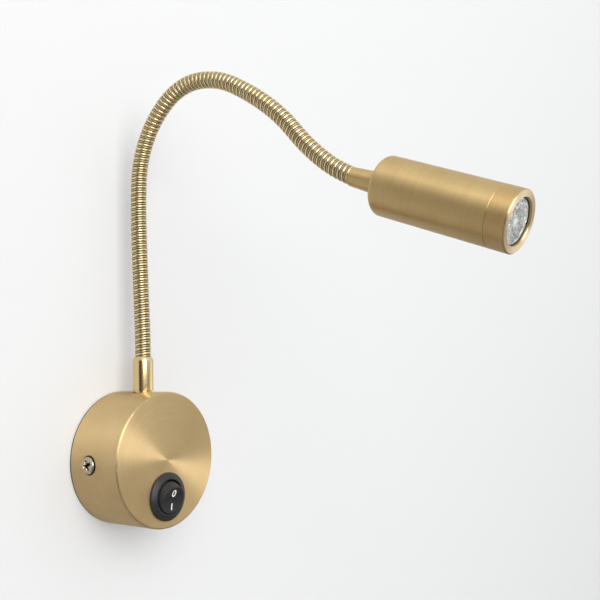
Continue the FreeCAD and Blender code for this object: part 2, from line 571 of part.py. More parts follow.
# Collimator lens: clear cone, a pocket over the emitter, a shallow round dimple in its front.
lens = revolve([(0, LENS_BACK + 3.6), (2.4, LENS_BACK + 3.2), (2.6, LENS_BACK), (3.4, LENS_BACK),
                (LENS_R * 0.607, LENS_BACK + 3.6), (LENS_R * 0.809, LENS_BACK + 7.4),
                (LENS_R - 0.3, LENS_FRONT - 1.8),
                (LENS_R, LENS_FRONT - 1.8), (LENS_R, LENS_FRONT), (3.0, LENS_FRONT),
                (2.6, LENS_FRONT - 0.5), (0, LENS_FRONT - 0.3)])
nodes["lens"] = solid(to_head(lens))

# Lens holder: black cup standing on the heat sink, its rim round the lens.
RIM = LENS_R + 0.08
holder = revolve([(HOLDER_IN, SINK_TO + 0.05), (HOLDER_R, SINK_TO + 0.05), (HOLDER_R, HEAD_LEN - LIP_T - 0.6),
                  (RIM, HEAD_LEN - LIP_T - 0.6), (RIM, LENS_FRONT - 1.9), (LENS_R - 0.2, LENS_FRONT - 1.9),
                  (LENS_R - 0.2, LENS_FRONT - 3.4), (HOLDER_IN, LENS_FRONT - 3.4)])
nodes["lens_holder"] = solid(to_head(holder))
gasket = revolve([(OPEN_R - 0.15, HEAD_LEN - LIP_T - 0.6), (HOLDER_R, HEAD_LEN - LIP_T - 0.6),
                  (HOLDER_R, HEAD_LEN - LIP_T), (OPEN_R - 0.15, HEAD_LEN - LIP_T)])
nodes["lens_gasket"] = solid(to_head(gasket))

# ============================================================================================
# LED lead: one round two-core lead from the base, up the neck, to behind the heat sink.
LEAD_FOOT_Z = COVER_IN - 9.3
LEAD_TOP = SINK_FROM - 7.0      # where it ends in the head
edges = [Part.makeLine(V(0, NECK_Y, LEAD_FOOT_Z), V(0, NECK_Y, NECK_Z))]
edges += [centre_arc(i, 0, LENGTH) for i in range(len(BENDS))]
edges.append(Part.makeLine(neck_end, head_back + head_dir * LEAD_TOP))
nodes["led_lead"] = tube(Part.Wire(edges), LEAD_R)

CORE_R = 0.55
cores = []
for side in (-1, 1):
    path = route([(side * 0.62, 0, LEAD_TOP), (side * 0.62, 0, LEAD_TOP + 3.0),
                  (side * 0.75, CHANNEL_Y, SINK_FROM - 1.0),
                  (side * 0.75, CHANNEL_Y, SINK_TO + BOARD_T + 0.6)], 1.2)
    cores.append(solid(to_head(tube(path, CORE_R))))
nodes["head_cores"] = Part.makeCompound(cores)

# ============================================================================================
# Terminal block on the plate: moulded body, three clamp barrels, six screws.
TB_Z0, TB_Z1, TB_T = -6.0, 16.0, 11.0
POLE_R = 2.0
POLE_BORE_R = 1.3
TB_FRONT = -PLATE_T - TB_T
POLES = [TB_Z0 + 3.5, (TB_Z0 + TB_Z1) / 2, TB_Z1 - 3.5]
BARREL_POLE_Y = -PLATE_T - 5.6
tb = block(TB_X0, TB_X1, TB_FRONT, -PLATE_T, TB_Z0, TB_Z1)
barrels, clamps = [], []
for z in POLES:
    tb = tb.cut(rod_x(POLE_R + SLIDE_FIT, TB_X0, TB_X1, BARREL_POLE_Y, z))
    barrel_pole = rod_x(POLE_R, TB_X0 + 2, TB_X1 - 2, BARREL_POLE_Y, z)
    barrel_pole = barrel_pole.cut(rod_x(POLE_BORE_R, TB_X0, TB_X1, BARREL_POLE_Y, z))
    for x in (TB_X0 + 4.4, TB_X1 - 4.4):
        tb = tb.cut(disc_y(1.9, TB_FRONT, BARREL_POLE_Y, x, z))
        barrel_pole = barrel_pole.cut(disc_y(1.0, TB_FRONT, BARREL_POLE_Y, x, z))
        pin = disc_y(0.95, BARREL_POLE_Y - 3.6, BARREL_POLE_Y - 0.95, x, z)
        pin = pin.fuse(disc_y(1.6, BARREL_POLE_Y - 4.6, BARREL_POLE_Y - 3.4, x, z))
        slot = block(x - 1.7, x + 1.7, BARREL_POLE_Y - 4.7, BARREL_POLE_Y - 4.1, z - 0.25, z + 0.25)
        clamps.append(solid(pin.cut(slot)))
    barrels.append(solid(barrel_pole))
BLOCK_SEAT = TB_FRONT + 3.0
tb = tb.cut(disc_y(1.6, TB_FRONT, -PLATE_T, *BLOCK_FIX)).cut(disc_y(2.8, TB_FRONT, BLOCK_SEAT, *BLOCK_FIX))
nodes["terminal_block"] = solid(tb)
nodes["terminal_barrels"] = Part.makeCompound(barrels)
nodes["terminal_screws"] = Part.makeCompound(clamps)

# Constant current driver: tray, board with its parts, lid.
DR_X0, DR_X1 = BESIDE, INSIDE_HALF
DR_Z0, DR_Z1, DR_T = -6.0, COVER_IN - 13.8, 14.5
DR_FRONT = -PLATE_T - DR_T
tray = block(DR_X0, DR_X1, DR_FRONT, -PLATE_T, DR_Z0, DR_Z1)
tray = tray.cut(block(DR_X0 + 1, DR_X1 - 1, DR_FRONT, -PLATE_T - 1, DR_Z0 + 1, DR_Z1 - 1))
ear = block(DRIVER_FIX[0] - 3.5, DRIVER_FIX[0] + 3.5, -PLATE_T - 1.2, -PLATE_T,
            DRIVER_FIX[1] - 3.5, DR_Z0 + 0.5)
tray = tray.fuse(ear).cut(disc_y(1.6, -6, 0, *DRIVER_FIX))
for z, r in ((-3.0, 1.1), (0.5, 1.1)):
    tray = tray.cut(rod_x(r, DR_X0 - 1, DR_X0 + 1.5, DR_FRONT + 4.0, z))
OUT_X = (DR_X0 + 3.6, DR_X0 + 5.4)
for x in OUT_X:
    tray = tray.cut(Part.makeCylinder(0.75, 3, V(x, DR_FRONT + 4.0, DR_Z1 - 2)))
nodes["driver_case"] = solid(tray)
lid = block(DR_X0 + 1.05, DR_X1 - 1.05, DR_FRONT, DR_FRONT + 1.0, DR_Z0 + 1.05, DR_Z1 - 1.05)
nodes["driver_lid"] = solid(lid.fuse(block(DR_X0, DR_X1, DR_FRONT - 0.8, DR_FRONT, DR_Z0, DR_Z1)))
pcb_y = -PLATE_T - 3.0
nodes["driver_board"] = solid(block(DR_X0 + 1.3, DR_X1 - 1.3, pcb_y - 1.2, pcb_y, DR_Z0 + 1.3, DR_Z1 - 1.3))
parts = [disc_y(2.6, pcb_y - 8.2, pcb_y - 1.2, DR_X1 - 4.2, DR_Z0 + 5.0),
         block(DR_X0 + 3.0, DR_X1 - 6.4, pcb_y - 5.6, pcb_y - 1.2, DR_Z0 + 11.0, DR_Z0 + 18.0),
         block(DR_X1 - 5.6, DR_X1 - 2.0, pcb_y - 2.6, pcb_y - 1.2, DR_Z0 + 10.0, DR_Z0 + 15.0)]
nodes["driver_parts"] = Part.makeCompound(parts)

# Small screws that hold the block, the driver and the earth tag to the plate.
fixings = []
for (x, z), seat in ((BLOCK_FIX, BLOCK_SEAT), (DRIVER_FIX, -PLATE_T - 1.2), (EARTH, -PLATE_T - 0.8)):
    s = disc_y(1.42, seat, -0.1, x, z).fuse(disc_y(2.7, seat - 1.8, seat, x, z))
    fixings.append(solid(s.cut(block(x - 2.8, x + 2.8, seat - 1.9, seat - 1.1, z - 0.3, z + 0.3))))
nodes["plate_screws"] = Part.makeCompound(fixings)
tag = disc_y(3.4, -PLATE_T - 0.8, -PLATE_T, *EARTH)
tag = tag.fuse(block(EARTH[0] - 1.2, EARTH[0] + 1.2, -PLATE_T - 0.8, -PLATE_T, EARTH[1], EARTH[1] + 6.0))
WIRE_R = 0.9
CRIMP_Y = -PLATE_T - 0.8 - WIRE_R
CRIMP = V(EARTH[0], CRIMP_Y, EARTH[1] + 3.4)
tag = tag.fuse(Part.makeCylinder(WIRE_R + 0.6, 2.4, CRIMP))
tag = tag.cut(Part.makeCylinder(WIRE_R + 0.05, 3.0, CRIMP))
tag = tag.common(block(-PLATE_R, 0, -10, -PLATE_T, -PLATE_R, 0))
nodes["earth_tag"] = solid(tag.cut(disc_y(1.5, -PLATE_T - 0.8, -PLATE_T, *EARTH)))

# Sleeved connectors pushed on the switch's blades.
BLADE_END = FACE_Y + SW_DEPTH + BLADE_OUT
SLEEVE_END = BLADE_END + 1.5
sleeves = []
for at in (LINE_BLADE, LOAD_BLADE):
    z = SW_Z + at
    s = block(-3.1, 3.1, BLADE_END - 5.5, SLEEVE_END, z - 1.5, z + 1.5)
    s = s.cut(block(-BLADE_W / 2 - 0.05, BLADE_W / 2 + 0.05, BLADE_END - 5.5, BLADE_END + 0.05,
                    z - BLADE_T / 2 - 0.05, z + BLADE_T / 2 + 0.05))
    sleeves.append(solid(s.cut(disc_y(WIRE_R + 0.03, BLADE_END, SLEEVE_END, 0, z))))
nodes["blade_sleeves"] = Part.makeCompound(sleeves)

# Wires inside the cover.
WIRE_BEND = 1.4
IN_BARREL = TB_X1 - 3.0
OUT_BARREL = TB_X1 + 2.6
LINE_Z, LOAD_Z = SW_Z + LINE_BLADE, SW_Z + LOAD_BLADE
DR_IN_Y = DR_FRONT + 4.0
BEHIND = -PLATE_T - SLEEVE_END  # room between the sleeves and the plate
wires = {
    "wire_live": [(IN_BARREL, BARREL_POLE_Y, POLES[0]), (OUT_BARREL, BARREL_POLE_Y, POLES[0]),
                  (-4.6, SLEEVE_END + BEHIND * 0.382, SW_Z + 7.9), (0, SLEEVE_END + BEHIND * 0.436, LINE_Z),
                  (0, BLADE_END + 0.3, LINE_Z)],
    "wire_switched": [(0, BLADE_END + 0.3, LOAD_Z), (0, SLEEVE_END + BEHIND * 0.418, LOAD_Z),
                      (4.4, SLEEVE_END + BEHIND * 0.145, SW_Z + 10.2),
                      (4.4, DR_IN_Y, -3.0), (DR_X0 + 2.0, DR_IN_Y, -3.0)],
    "wire_neutral": [(IN_BARREL, BARREL_POLE_Y, POLES[2]), (OUT_BARREL, BARREL_POLE_Y, POLES[2]),
                     (-1.5, -9.5, 6.0), (4.2, DR_IN_Y, 0.5), (DR_X0 + 2.0, DR_IN_Y, 0.5)],
    "wire_earth": [(IN_BARREL, BARREL_POLE_Y, POLES[1]), (OUT_BARREL + 1.2, BARREL_POLE_Y, POLES[1]),
                   (-4.6, -10.6, -2.0), (-5.4, -10.2, -7.6), (EARTH[0], CRIMP_Y, -7.7),
                   (EARTH[0], CRIMP_Y, EARTH[1] + 3.6)],
}
for name, points in wires.items():
    nodes[name] = tube(route(points, WIRE_BEND), WIRE_R)
cores = []
for x, side in zip(OUT_X, (-1, 1)):
    path = route([(x, DR_IN_Y, DR_Z1 - 1.4), (x, DR_IN_Y, DR_Z1 + 2.2),
                  (4.6, -14.2, DR_Z1 + 1.2 + side * 0.7), (side * 0.62, NECK_Y, DR_Z1 + 1.4),
                  (side * 0.62, NECK_Y, LEAD_FOOT_Z)], 1.0)
    cores.append(tube(path, CORE_R))
nodes["base_cores"] = Part.makeCompound(cores)

for name, shape in nodes.items():
    shape.exportStep(f"parts/{name}.step")
    print(name, len(shape.Solids), round(shape.Volume, 1), shape.isValid())
print("head back", head_back, "axis lean", HEAD_PHI)
for i in range(len(start_y)):
    print("pivot", i, round(start_y[i], 3), round(start_z[i], 3), round(start_phi[i], 2))
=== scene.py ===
import bpy
import math
from mathutils import Matrix, Vector


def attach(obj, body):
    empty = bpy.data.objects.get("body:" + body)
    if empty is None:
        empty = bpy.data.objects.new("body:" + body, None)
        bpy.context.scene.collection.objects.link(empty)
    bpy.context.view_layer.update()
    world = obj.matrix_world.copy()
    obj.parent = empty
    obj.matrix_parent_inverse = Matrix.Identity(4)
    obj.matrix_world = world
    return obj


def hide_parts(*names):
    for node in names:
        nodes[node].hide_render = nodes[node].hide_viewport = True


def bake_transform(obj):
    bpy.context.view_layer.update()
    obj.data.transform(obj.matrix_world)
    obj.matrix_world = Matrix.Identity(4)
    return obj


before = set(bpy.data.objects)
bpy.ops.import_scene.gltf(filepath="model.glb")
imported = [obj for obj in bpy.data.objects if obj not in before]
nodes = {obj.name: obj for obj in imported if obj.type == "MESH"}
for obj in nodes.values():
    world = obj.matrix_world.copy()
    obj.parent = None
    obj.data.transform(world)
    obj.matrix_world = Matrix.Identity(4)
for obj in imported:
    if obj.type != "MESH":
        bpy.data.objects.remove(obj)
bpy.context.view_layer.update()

scene = bpy.context.scene
scene.view_settings.view_transform = "Standard"

# ---- The view --------------------------------------------------------
# The lamp is seen from its left side, level with the switch: the base's side and face, the
# whole neck and the head's front ring show. A 53 mm lens, turned 54 degrees off the wall's normal.
turn, rise, tilt = math.radians(-54.454), math.radians(-3.230), math.radians(-1.012)
back = Vector((math.sin(turn) * math.cos(rise), -math.cos(turn) * math.cos(rise), math.sin(rise)))
right = Vector((math.cos(turn), math.sin(turn), 0))
up = back.cross(right)
right, up = right * math.cos(tilt) + up * math.sin(tilt), up * math.cos(tilt) - right * math.sin(tilt)
lens_data = bpy.data.cameras.new("view")
lens_data.lens = 52.907
lens_data.sensor_width = 36.0
lens_data.clip_start = 0.01
view = bpy.data.objects.new("view", lens_data)
view.matrix_world = Matrix((right, up, back)).transposed().to_4x4()
view.location = (-0.30903, -0.3322, 0.05161)
scene.collection.objects.link(view)
scene.camera = view

# ---- The wall behind, the floor and the light ------------------------
# A smooth painted wall that the plate is screwed to, curving out into a pale floor far below.
# A wide soft lamp stands in front, above and a little left; the room is pale, dark far left.
wall_behind, wall_top, wall_foot, wall_bend = 0.0002, 2.6, -0.75, 0.25
wall_left, wall_right, floor_front, bend_steps = -2.2, 4.2, -3.0, 12
wall_run = [(wall_behind, wall_top), (wall_behind, wall_foot)]
for step in range(1, bend_steps + 1):
    bend = math.pi / 2 * step / bend_steps
    wall_run.append((-wall_bend + (wall_bend + wall_behind) * math.cos(bend),
                     wall_foot - wall_bend * math.sin(bend)))
wall_run.append((floor_front, wall_foot - wall_bend))
wall_mesh = bpy.data.meshes.new("wall")
wall_points, wall_faces = [], []
for k, (y, z) in enumerate(wall_run):
    wall_points += [(wall_left, y, z), (wall_right, y, z)]
    if k:
        wall_faces.append((2 * k - 2, 2 * k, 2 * k + 1, 2 * k - 1))
wall_mesh.from_pydata(wall_points, [], wall_faces)
wall_mesh.shade_smooth()
wall = bpy.data.objects.new("wall", wall_mesh)
scene.collection.objects.link(wall)


def start_material(name, metallic=0.0):
    """A new node material with its shader and output in place."""
    material = bpy.data.materials.new(name)
    material.use_nodes = True
    tree = material.node_tree
    tree.nodes.clear()
    shader = tree.nodes.new("ShaderNodeBsdfPrincipled")
    shader.inputs["Metallic"].default_value = metallic
    output = tree.nodes.new("ShaderNodeOutputMaterial")
    tree.links.new(shader.outputs[0], output.inputs[0])
    return material, tree, shader, output


def add(tree, kind, inputs=None, **settings):
    """A node with its settings, and its inputs linked to sockets or set to values."""
    node = tree.nodes.new(kind)
    for key, value in settings.items():
        setattr(node, key, value)
    for key, value in (inputs or {}).items():
        if isinstance(value, bpy.types.NodeSocket):
            tree.links.new(value, node.inputs[key])
        else:
            node.inputs[key].default_value = value
    return node


def maths(tree, operation, *values):
    """The result of a Math node on sockets or numbers."""
    return add(tree, "ShaderNodeMath", dict(enumerate(values)), operation=operation).outputs[0]


def vector(tree, operation, *values):
    """A Vector Math node on sockets or vectors: its results are Vector and Value."""
    return add(tree, "ShaderNodeVectorMath", dict(enumerate(values)), operation=operation)


def ranged(tree, amount, low, high, first, last):
    """An amount from low to high turned into one from first to last, held at both ends."""
    return add(tree, "ShaderNodeMapRange", {0: amount, 1: low, 2: high, 3: first, 4: last}).outputs[0]


def mixed(tree, kind, share, first, second):
    """A share of the second shader or colour over the first."""
    return add(tree, kind, {0: share, 1: first, 2: second}).outputs[0]


paint, tree, shader, output = start_material("wall_paint")
shader.inputs["Base Color"].default_value = (0.62, 0.624, 0.628, 1)
shader.inputs["Roughness"].default_value = 0.9
shader.inputs["Specular IOR Level"].default_value = 0.1
place = add(tree, "ShaderNodeTexCoord")
apart = add(tree, "ShaderNodeSeparateXYZ", {0: place.outputs["Object"]})
# painted light: a glow over the wall, full for camera and transmission rays and a tenth for glossy ones,
# paler at the upper left, a little greyer towards the lower right
slope = maths(tree, "MULTIPLY_ADD", apart.outputs[0], 0.05, 0.132)
slope = maths(tree, "MULTIPLY_ADD", apart.outputs[2], 0.14, slope)
slope = maths(tree, "MINIMUM", maths(tree, "MAXIMUM", slope, 0.02), 0.40)
glow = add(tree, "ShaderNodeEmission", {0: (0.985, 0.992, 1.0, 1), 1: slope})
both = add(tree, "ShaderNodeAddShader", {0: shader.outputs[0], 1: glow.outputs[0]})
rays = add(tree, "ShaderNodeLightPath")
seen = maths(tree, "MULTIPLY", rays.outputs["Is Glossy Ray"], 0.1)
seen = maths(tree, "MAXIMUM", seen, rays.outputs["Is Camera Ray"])
seen = maths(tree, "MAXIMUM", seen, rays.outputs["Is Transmission Ray"])
lit = mixed(tree, "ShaderNodeMixShader", seen, shader.outputs[0], both.outputs[0])
# far to the left and low down the wall lies in shade, which the brass mirrors
far_left = ranged(tree, apart.outputs[0], -0.30, -0.07, 0.55, 0.0)
low_down = ranged(tree, apart.outputs[2], -0.20, 0.02, 0.8, 0.0)
shady = maths(tree, "MULTIPLY", maths(tree, "MAXIMUM", far_left, low_down), rays.outputs["Is Glossy Ray"])
dull = add(tree, "ShaderNodeBsdfDiffuse", {0: (0.16, 0.14, 0.125, 1)})
in_shade = mixed(tree, "ShaderNodeMixShader", shady, lit, dull.outputs[0])
# seen from behind, the wall is left open, also to what the plate mirrors close against it
side_of = add(tree, "ShaderNodeNewGeometry")
clear = add(tree, "ShaderNodeBsdfTransparent")
close = maths(tree, "LESS_THAN", rays.outputs["Ray Length"], 0.0015)
close = maths(tree, "MULTIPLY", close, maths(tree, "SUBTRACT", 1.0, rays.outputs["Is Camera Ray"]))
close = maths(tree, "MAXIMUM", side_of.outputs["Backfacing"], close)
open_back = mixed(tree, "ShaderNodeMixShader", close, in_shade, clear.outputs[0])
tree.links.new(open_back, output.inputs[0])
wall_mesh.materials.append(paint)

lamp_at, lamp_aim = Vector((-0.85, -1.85, 0.74)), Vector((0, -0.05, 0.06))
lamp_wide, lamp_high, lamp_watts = 1.7, 1.6, 33.5
lamp_data = bpy.data.lights.new("lamp_front", "AREA")
lamp_data.shape = "RECTANGLE"
lamp_data.size, lamp_data.size_y = lamp_wide, lamp_high
lamp_data.energy = lamp_watts
lamp_data.color = (1, 0.99, 0.97)
lamp = bpy.data.objects.new("lamp_front", lamp_data)
lamp.location = lamp_at
lamp.rotation_euler = (lamp_aim - lamp_at).to_track_quat("-Z", "Y").to_euler()
scene.collection.objects.link(lamp)

room = bpy.data.worlds.new("room")
room.use_nodes = True
tree = room.node_tree
tree.nodes.clear()
towards = add(tree, "ShaderNodeTexCoord").outputs["Generated"]
apart = add(tree, "ShaderNodeSeparateXYZ", {0: towards})
shade = add(tree, "ShaderNodeValToRGB", {0: maths(tree, "MULTIPLY_ADD", apart.outputs[2], 0.5, 0.5)})
shade.color_ramp.elements[0].color = (0.20, 0.195, 0.19, 1)
shade.color_ramp.elements[1].color = (0.98, 0.99, 1.0, 1)
shade.color_ramp.elements.new(0.46).color = (0.40, 0.395, 0.39, 1)
shade.color_ramp.elements.new(0.56).color = (0.86, 0.865, 0.87, 1)
# a pale table low on the right in front, and an open doorway far to the left, unlit
table = vector(tree, "DOT_PRODUCT", towards, (0.80, -0.45, -0.39)).outputs["Value"]
pale = ranged(tree, table, 0.82, 0.96, 0.0, 1.0)
top = mixed(tree, "ShaderNodeMixRGB", pale, shade.outputs[0], (1.30, 1.28, 1.25, 1))
doorway = vector(tree, "DOT_PRODUCT", towards, (-0.99, -0.14, 0.0)).outputs["Value"]
unlit = ranged(tree, doorway, 0.72, 0.98, 0.0, 0.92)
dim = mixed(tree, "ShaderNodeMixRGB", unlit, top, (0.05, 0.045, 0.04, 1))
rays = add(tree, "ShaderNodeLightPath")
white = mixed(tree, "ShaderNodeMixRGB", rays.outputs["Is Camera Ray"], dim, (0.93, 0.935, 0.94, 1))
sky = add(tree, "ShaderNodeBackground", {0: white})
add(tree, "ShaderNodeOutputWorld", {0: sky.outputs[0]})
scene.world = room

# ---- Wall plate, side tabs and fastenings ----------------------------
# A steel disc screwed to the wall, with two spot welded tabs that hold the cover's screws, zinc
# plated like the washers, lock nuts and small screws. They take a cloudy, faintly blue finish.


def over_object(tree, kind, inputs=None, **settings):
    """A texture over the object's own space, in metres."""
    place = add(tree, "ShaderNodeTexCoord")
    return add(tree, kind, {0: place.outputs["Object"], **(inputs or {})}, **settings)


def noise(tree, scale, detail=2.0, roughness=0.5):
    """The amount of a noise over the object's own space."""
    return over_object(tree, "ShaderNodeTexNoise", {2: scale, 3: detail, 4: roughness}).outputs[0]


def two_tones(tree, amount, start, first, end, last):
    """A colour that runs from the first to the last while the amount goes from start to end."""
    tone = add(tree, "ShaderNodeValToRGB", {0: amount})
    for stop, at, colour in zip(tone.color_ramp.elements, (start, end), (first, last)):
        stop.position, stop.color = at, (*colour, 1)
    return tone.outputs[0]


def surface(tree, shader, colour, rough, dents=None):
    """The colour, the roughness from (amount, spread, least), dents from (relief, strength, depth)."""
    tree.links.new(colour, shader.inputs["Base Color"])
    tree.links.new(maths(tree, "MULTIPLY_ADD", *rough), shader.inputs["Roughness"])
    if dents:
        bump = add(tree, "ShaderNodeBump", {"Height": dents[0], 0: dents[1], 1: dents[2]})
        tree.links.new(bump.outputs[0], shader.inputs["Normal"])


def dress(material, *names):
    """Give nodes of the construction their material."""
    for name in names:
        nodes[name].material_slots[0].material = material


zinc, tree, shader, output = start_material("zinc_plate", 1.0)
cloud = noise(tree, 420.0, 6.0, 0.6)
spangle = over_object(tree, "ShaderNodeTexVoronoi", {2: 900.0})
surface(tree, shader, two_tones(tree, cloud, 0.3, (0.50, 0.51, 0.52), 0.75, (0.70, 0.71, 0.73)),
        rough=(spangle.outputs[0], 0.22, 0.30), dents=(cloud, 0.25, 0.00003))
dress(zinc, "wall_plate", "side_tabs", "tab_nuts", "base_lock_washer", "base_lock_nut", "plate_screws",
      "earth_tag", "terminal_screws", "head_lock_washer", "head_lock_nut", "board_screws")

# ---- Grommet and seal ------------------------------------------------
# A moulded rubber ring pushed into the plate's centre hole, and a thin black rubber ring in the slit
# between the cover's rim and the wall, painted shade: a dark ring for the shadow in that slit.
# The lens gasket is the same rubber.
rubber, tree, shader, output = start_material("black_rubber")
bloom = noise(tree, 500.0)
surface(tree, shader, two_tones(tree, bloom, 0.0, (0.012, 0.012, 0.013), 1.0, (0.040, 0.040, 0.042)),
        rough=(bloom, 0.2, 0.6), dents=(noise(tree, 5200.0, 3.0), 0.3, 0.00003))
dress(rubber, "cable_grommet", "lens_gasket")


def turned_points(outline, spokes, loop=False):
    """Rings of points and faces for an outline of (radius, height), closed at the axis or a loop."""
    points, faces, rows = [], [], []
    for r, z in outline:
        if r < 1e-9:
            rows.append([len(points)] * spokes)
            points.append((0, 0, z))
            continue
        rows.append(range(len(points), len(points) + spokes))
        for j in range(spokes):
            a = 2 * math.pi * j / spokes
            points.append((r * math.cos(a), r * math.sin(a), z))
    for low, high in zip(rows, rows[1:] + rows[:1] * loop):
        for j in range(spokes):
            n = (j + 1) % spokes
            corners = []
            for v in (low[j], low[n], high[n], high[j]):
                if v not in corners:
                    corners.append(v)
            if len(corners) > 2:
                faces.append(corners)
    return points, faces


def rounded(outline, steps=4):
    """An outline of (radius, height, corner radius) with its corners rounded."""
    out = []
    for k, (r, z, fillet) in enumerate(outline):
        here = Vector((r, z))
        if not fillet:
            out.append((r, z))
            continue
        before = Vector(outline[k - 1][:2]) - here
        after = Vector(outline[(k + 1) % len(outline)][:2]) - here
        reach = min(fillet, before.length * 0.48, after.length * 0.48)
        a, b = here + before.normalized() * reach, here + after.normalized() * reach
        for step in range(steps + 1):
            t = step / steps
            p = a * (1 - t) ** 2 + here * 2 * t * (1 - t) + b * t * t
            out.append((p.x, p.y))
    return out


def moulded(name, parts, place_at, material, shade_angle=35):
    """A piece from lists of points and faces, moved into place in its mesh."""
    mesh = bpy.data.meshes.new(name)
    points, faces = [], []
    for p, f in parts:
        faces += [[v + len(points) for v in face] for face in f]
        points += p
    mesh.from_pydata([place_at @ Vector(p) for p in points], [], faces)
    mesh.materials.append(material)
    mesh.shade_smooth()
    mesh.set_sharp_from_angle(angle=math.radians(shade_angle))
    piece = bpy.data.objects.new(name, mesh)
    scene.collection.objects.link(piece)
    return piece


# squeezed, it swells out a little towards the cover's rim
seal_in, seal_out, seal_high, seal_round = 0.03005, 0.03245, 0.00066, 0.0002
seal_outline = rounded([(seal_in, 0.0, 0), (seal_out, 0.0, seal_round), (seal_out, seal_high, seal_round),
                        (seal_in, seal_high, 0)])
# painted shade: this black ring stands for the shadow in the slit between the cover's rim and the wall
shade_ring = moulded("shadow_gap_ring", [turned_points(seal_outline, 160, loop=True)],
               Matrix.Rotation(math.pi / 2, 4, "X"), rubber)
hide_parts("wall_seal")
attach(shade_ring, "base")

# ---- Cover -----------------------------------------------------------
# A deep drawn brass cup, closed at the front and held by the two side screws. Its face and side
# are satin brushed as it turns on a lathe, so the fine lines run round its middle, and lacquered.
cover_r, cover_face, screw_depth = 0.0325, -0.0315, -0.0131


def from_axis(tree, centre, axis):
    """The place from the centre, the way round the axis, and the distances from it and along it."""
    centred = over_object(tree, "ShaderNodeVectorMath", {1: centre}, operation="SUBTRACT").outputs[0]
    around = vector(tree, "CROSS_PRODUCT", axis, centred).outputs[0]
    reach = vector(tree, "LENGTH", around).outputs["Value"]
    along = vector(tree, "DOT_PRODUCT", centred, axis).outputs["Value"]
    return centred, around, reach, along


def recoloured(material, inside, colour):
    """The material's colour changed to another by this much; its shader is returned."""
    tree = material.node_tree
    shader = next(node for node in tree.nodes if node.type == "BSDF_PRINCIPLED")
    before = shader.inputs["Base Color"].links[0].from_socket
    tree.links.new(mixed(tree, "ShaderNodeMixRGB", inside, before, colour), shader.inputs["Base Color"])
    return shader


def shade_painted_near_axis(material, centre, axis, within, below=1.0):
    """Painted shade: the brass turned dull black nearer to an axis than this, up to a place along it."""
    tree = material.node_tree
    reach, along = from_axis(tree, centre, Vector(axis).normalized())[2:]
    inside = maths(tree, "LESS_THAN", reach, within)
    inside = maths(tree, "MULTIPLY", inside, maths(tree, "LESS_THAN", along, below))
    shader = recoloured(material, inside, (0.018, 0.015, 0.012, 1))
    tree.links.new(maths(tree, "SUBTRACT", 1.0, inside), shader.inputs["Metallic"])


def turned_brass(name, centre, axis, light, dark, rough, spread, line, depth):
    """Brass brushed round an axis: fine lines at one radius and height, glints across them."""
    material, tree, shader, output = start_material(name, 1.0)
    shader.inputs["Anisotropic"].default_value = spread
    axis = Vector(axis).normalized()
    centred, around, reach, along = from_axis(tree, centre, axis)
    # the angle round the axis, from a fixed direction across it
    across = axis.orthogonal().normalized()
    level = vector(tree, "DOT_PRODUCT", centred, across).outputs["Value"]
    other = vector(tree, "DOT_PRODUCT", centred, axis.cross(across)).outputs["Value"]
    angle = maths(tree, "ARCTAN2", other, level)
    # lines: fast across radius and height, slow round the axis, each fading in and out
    path = add(tree, "ShaderNodeCombineXYZ", {
        0: maths(tree, "MULTIPLY", reach, line), 1: maths(tree, "MULTIPLY", along, line),
        2: maths(tree, "SINE", angle)})
    fine = add(tree, "ShaderNodeTexNoise", {0: path.outputs[0], 2: 1.0, 3: 4.0, 4: 0.65}).outputs[0]
    broad_path = vector(tree, "MULTIPLY", path.outputs[0], (0.12, 0.12, 0.6))
    broad = add(tree, "ShaderNodeTexNoise", {0: broad_path.outputs[0], 2: 1.0, 3: 3.0, 4: 0.6}).outputs[0]
    amount = maths(tree, "MULTIPLY_ADD", fine, 0.50, maths(tree, "MULTIPLY", broad, 0.20))
    amount = maths(tree, "MULTIPLY_ADD", noise(tree, 90.0, 3.0), 0.30, amount)
    surface(tree, shader, two_tones(tree, amount, 0.36, dark, 0.64, light),
            rough=(fine, 0.16, rough - 0.08), dents=(fine, 0.5, depth))
    # glints lie across the lines: the shader's tangent is square to the direction of brushing
    turn_to = add(tree, "ShaderNodeVectorTransform", {0: around},
                  vector_type="VECTOR", convert_from="OBJECT", convert_to="WORLD")
    facing = add(tree, "ShaderNodeNewGeometry")
    square = vector(tree, "CROSS_PRODUCT", turn_to.outputs[0], facing.outputs["Normal"])
    tree.links.new(vector(tree, "NORMALIZE", square.outputs[0]).outputs[0], shader.inputs["Tangent"])
    return material


cover_brass = turned_brass("satin_brass_cover", (0, 0, 0), (0, 1, 0), (0.76, 0.57, 0.30), (0.66, 0.48, 0.245),
                           rough=0.42, spread=0.90, line=9000.0, depth=0.000004)
# painted shade: the bottom of each screw's spot face is painted dull black, for the shadow in the gap round
# the screw's head
shade_painted_near_axis(cover_brass, (0, screw_depth, 0), (1, 0, 0), within=0.00465)
dress(cover_brass, "base_cover")

# ---- Side screws -----------------------------------------------------
# Two M4 pan head screws with a cross recess, one in each side of the cover, screwed into the
# tabs' nuts. Bright nickelled steel with a warm tint, a little worn; the cross recess is painted near black
# as painted shade.
screw_head_r, screw_head_h, screw_shank_r, screw_len = 0.0040, 0.0019, 0.0020, 0.0080
screw_seat, screw_shoulder, screw_point = cover_r - 0.00035, 0.0007, 0.0004
cross_long, cross_end, cross_deep = 0.0026, 0.0005, 0.0012
cross_half, cross_flare, cross_wall = 0.00072, 0.00014, 0.00016
rings, spokes = 26, 72


def recess(x, y):
    """How deep in the cross recess a point is, from 0 on the head's top to 1 on its floor."""
    cut = 0.0
    for a, b in ((x, y), (y, x)):
        wide = cross_half + cross_flare * (1 - abs(a) / cross_long)
        ends = min(1.0, max(0.0, (cross_long - abs(a)) / cross_end))
        cut = max(cut, min(1.0, max(0.0, (wide - abs(b)) / cross_wall)) * ends)
    return cut


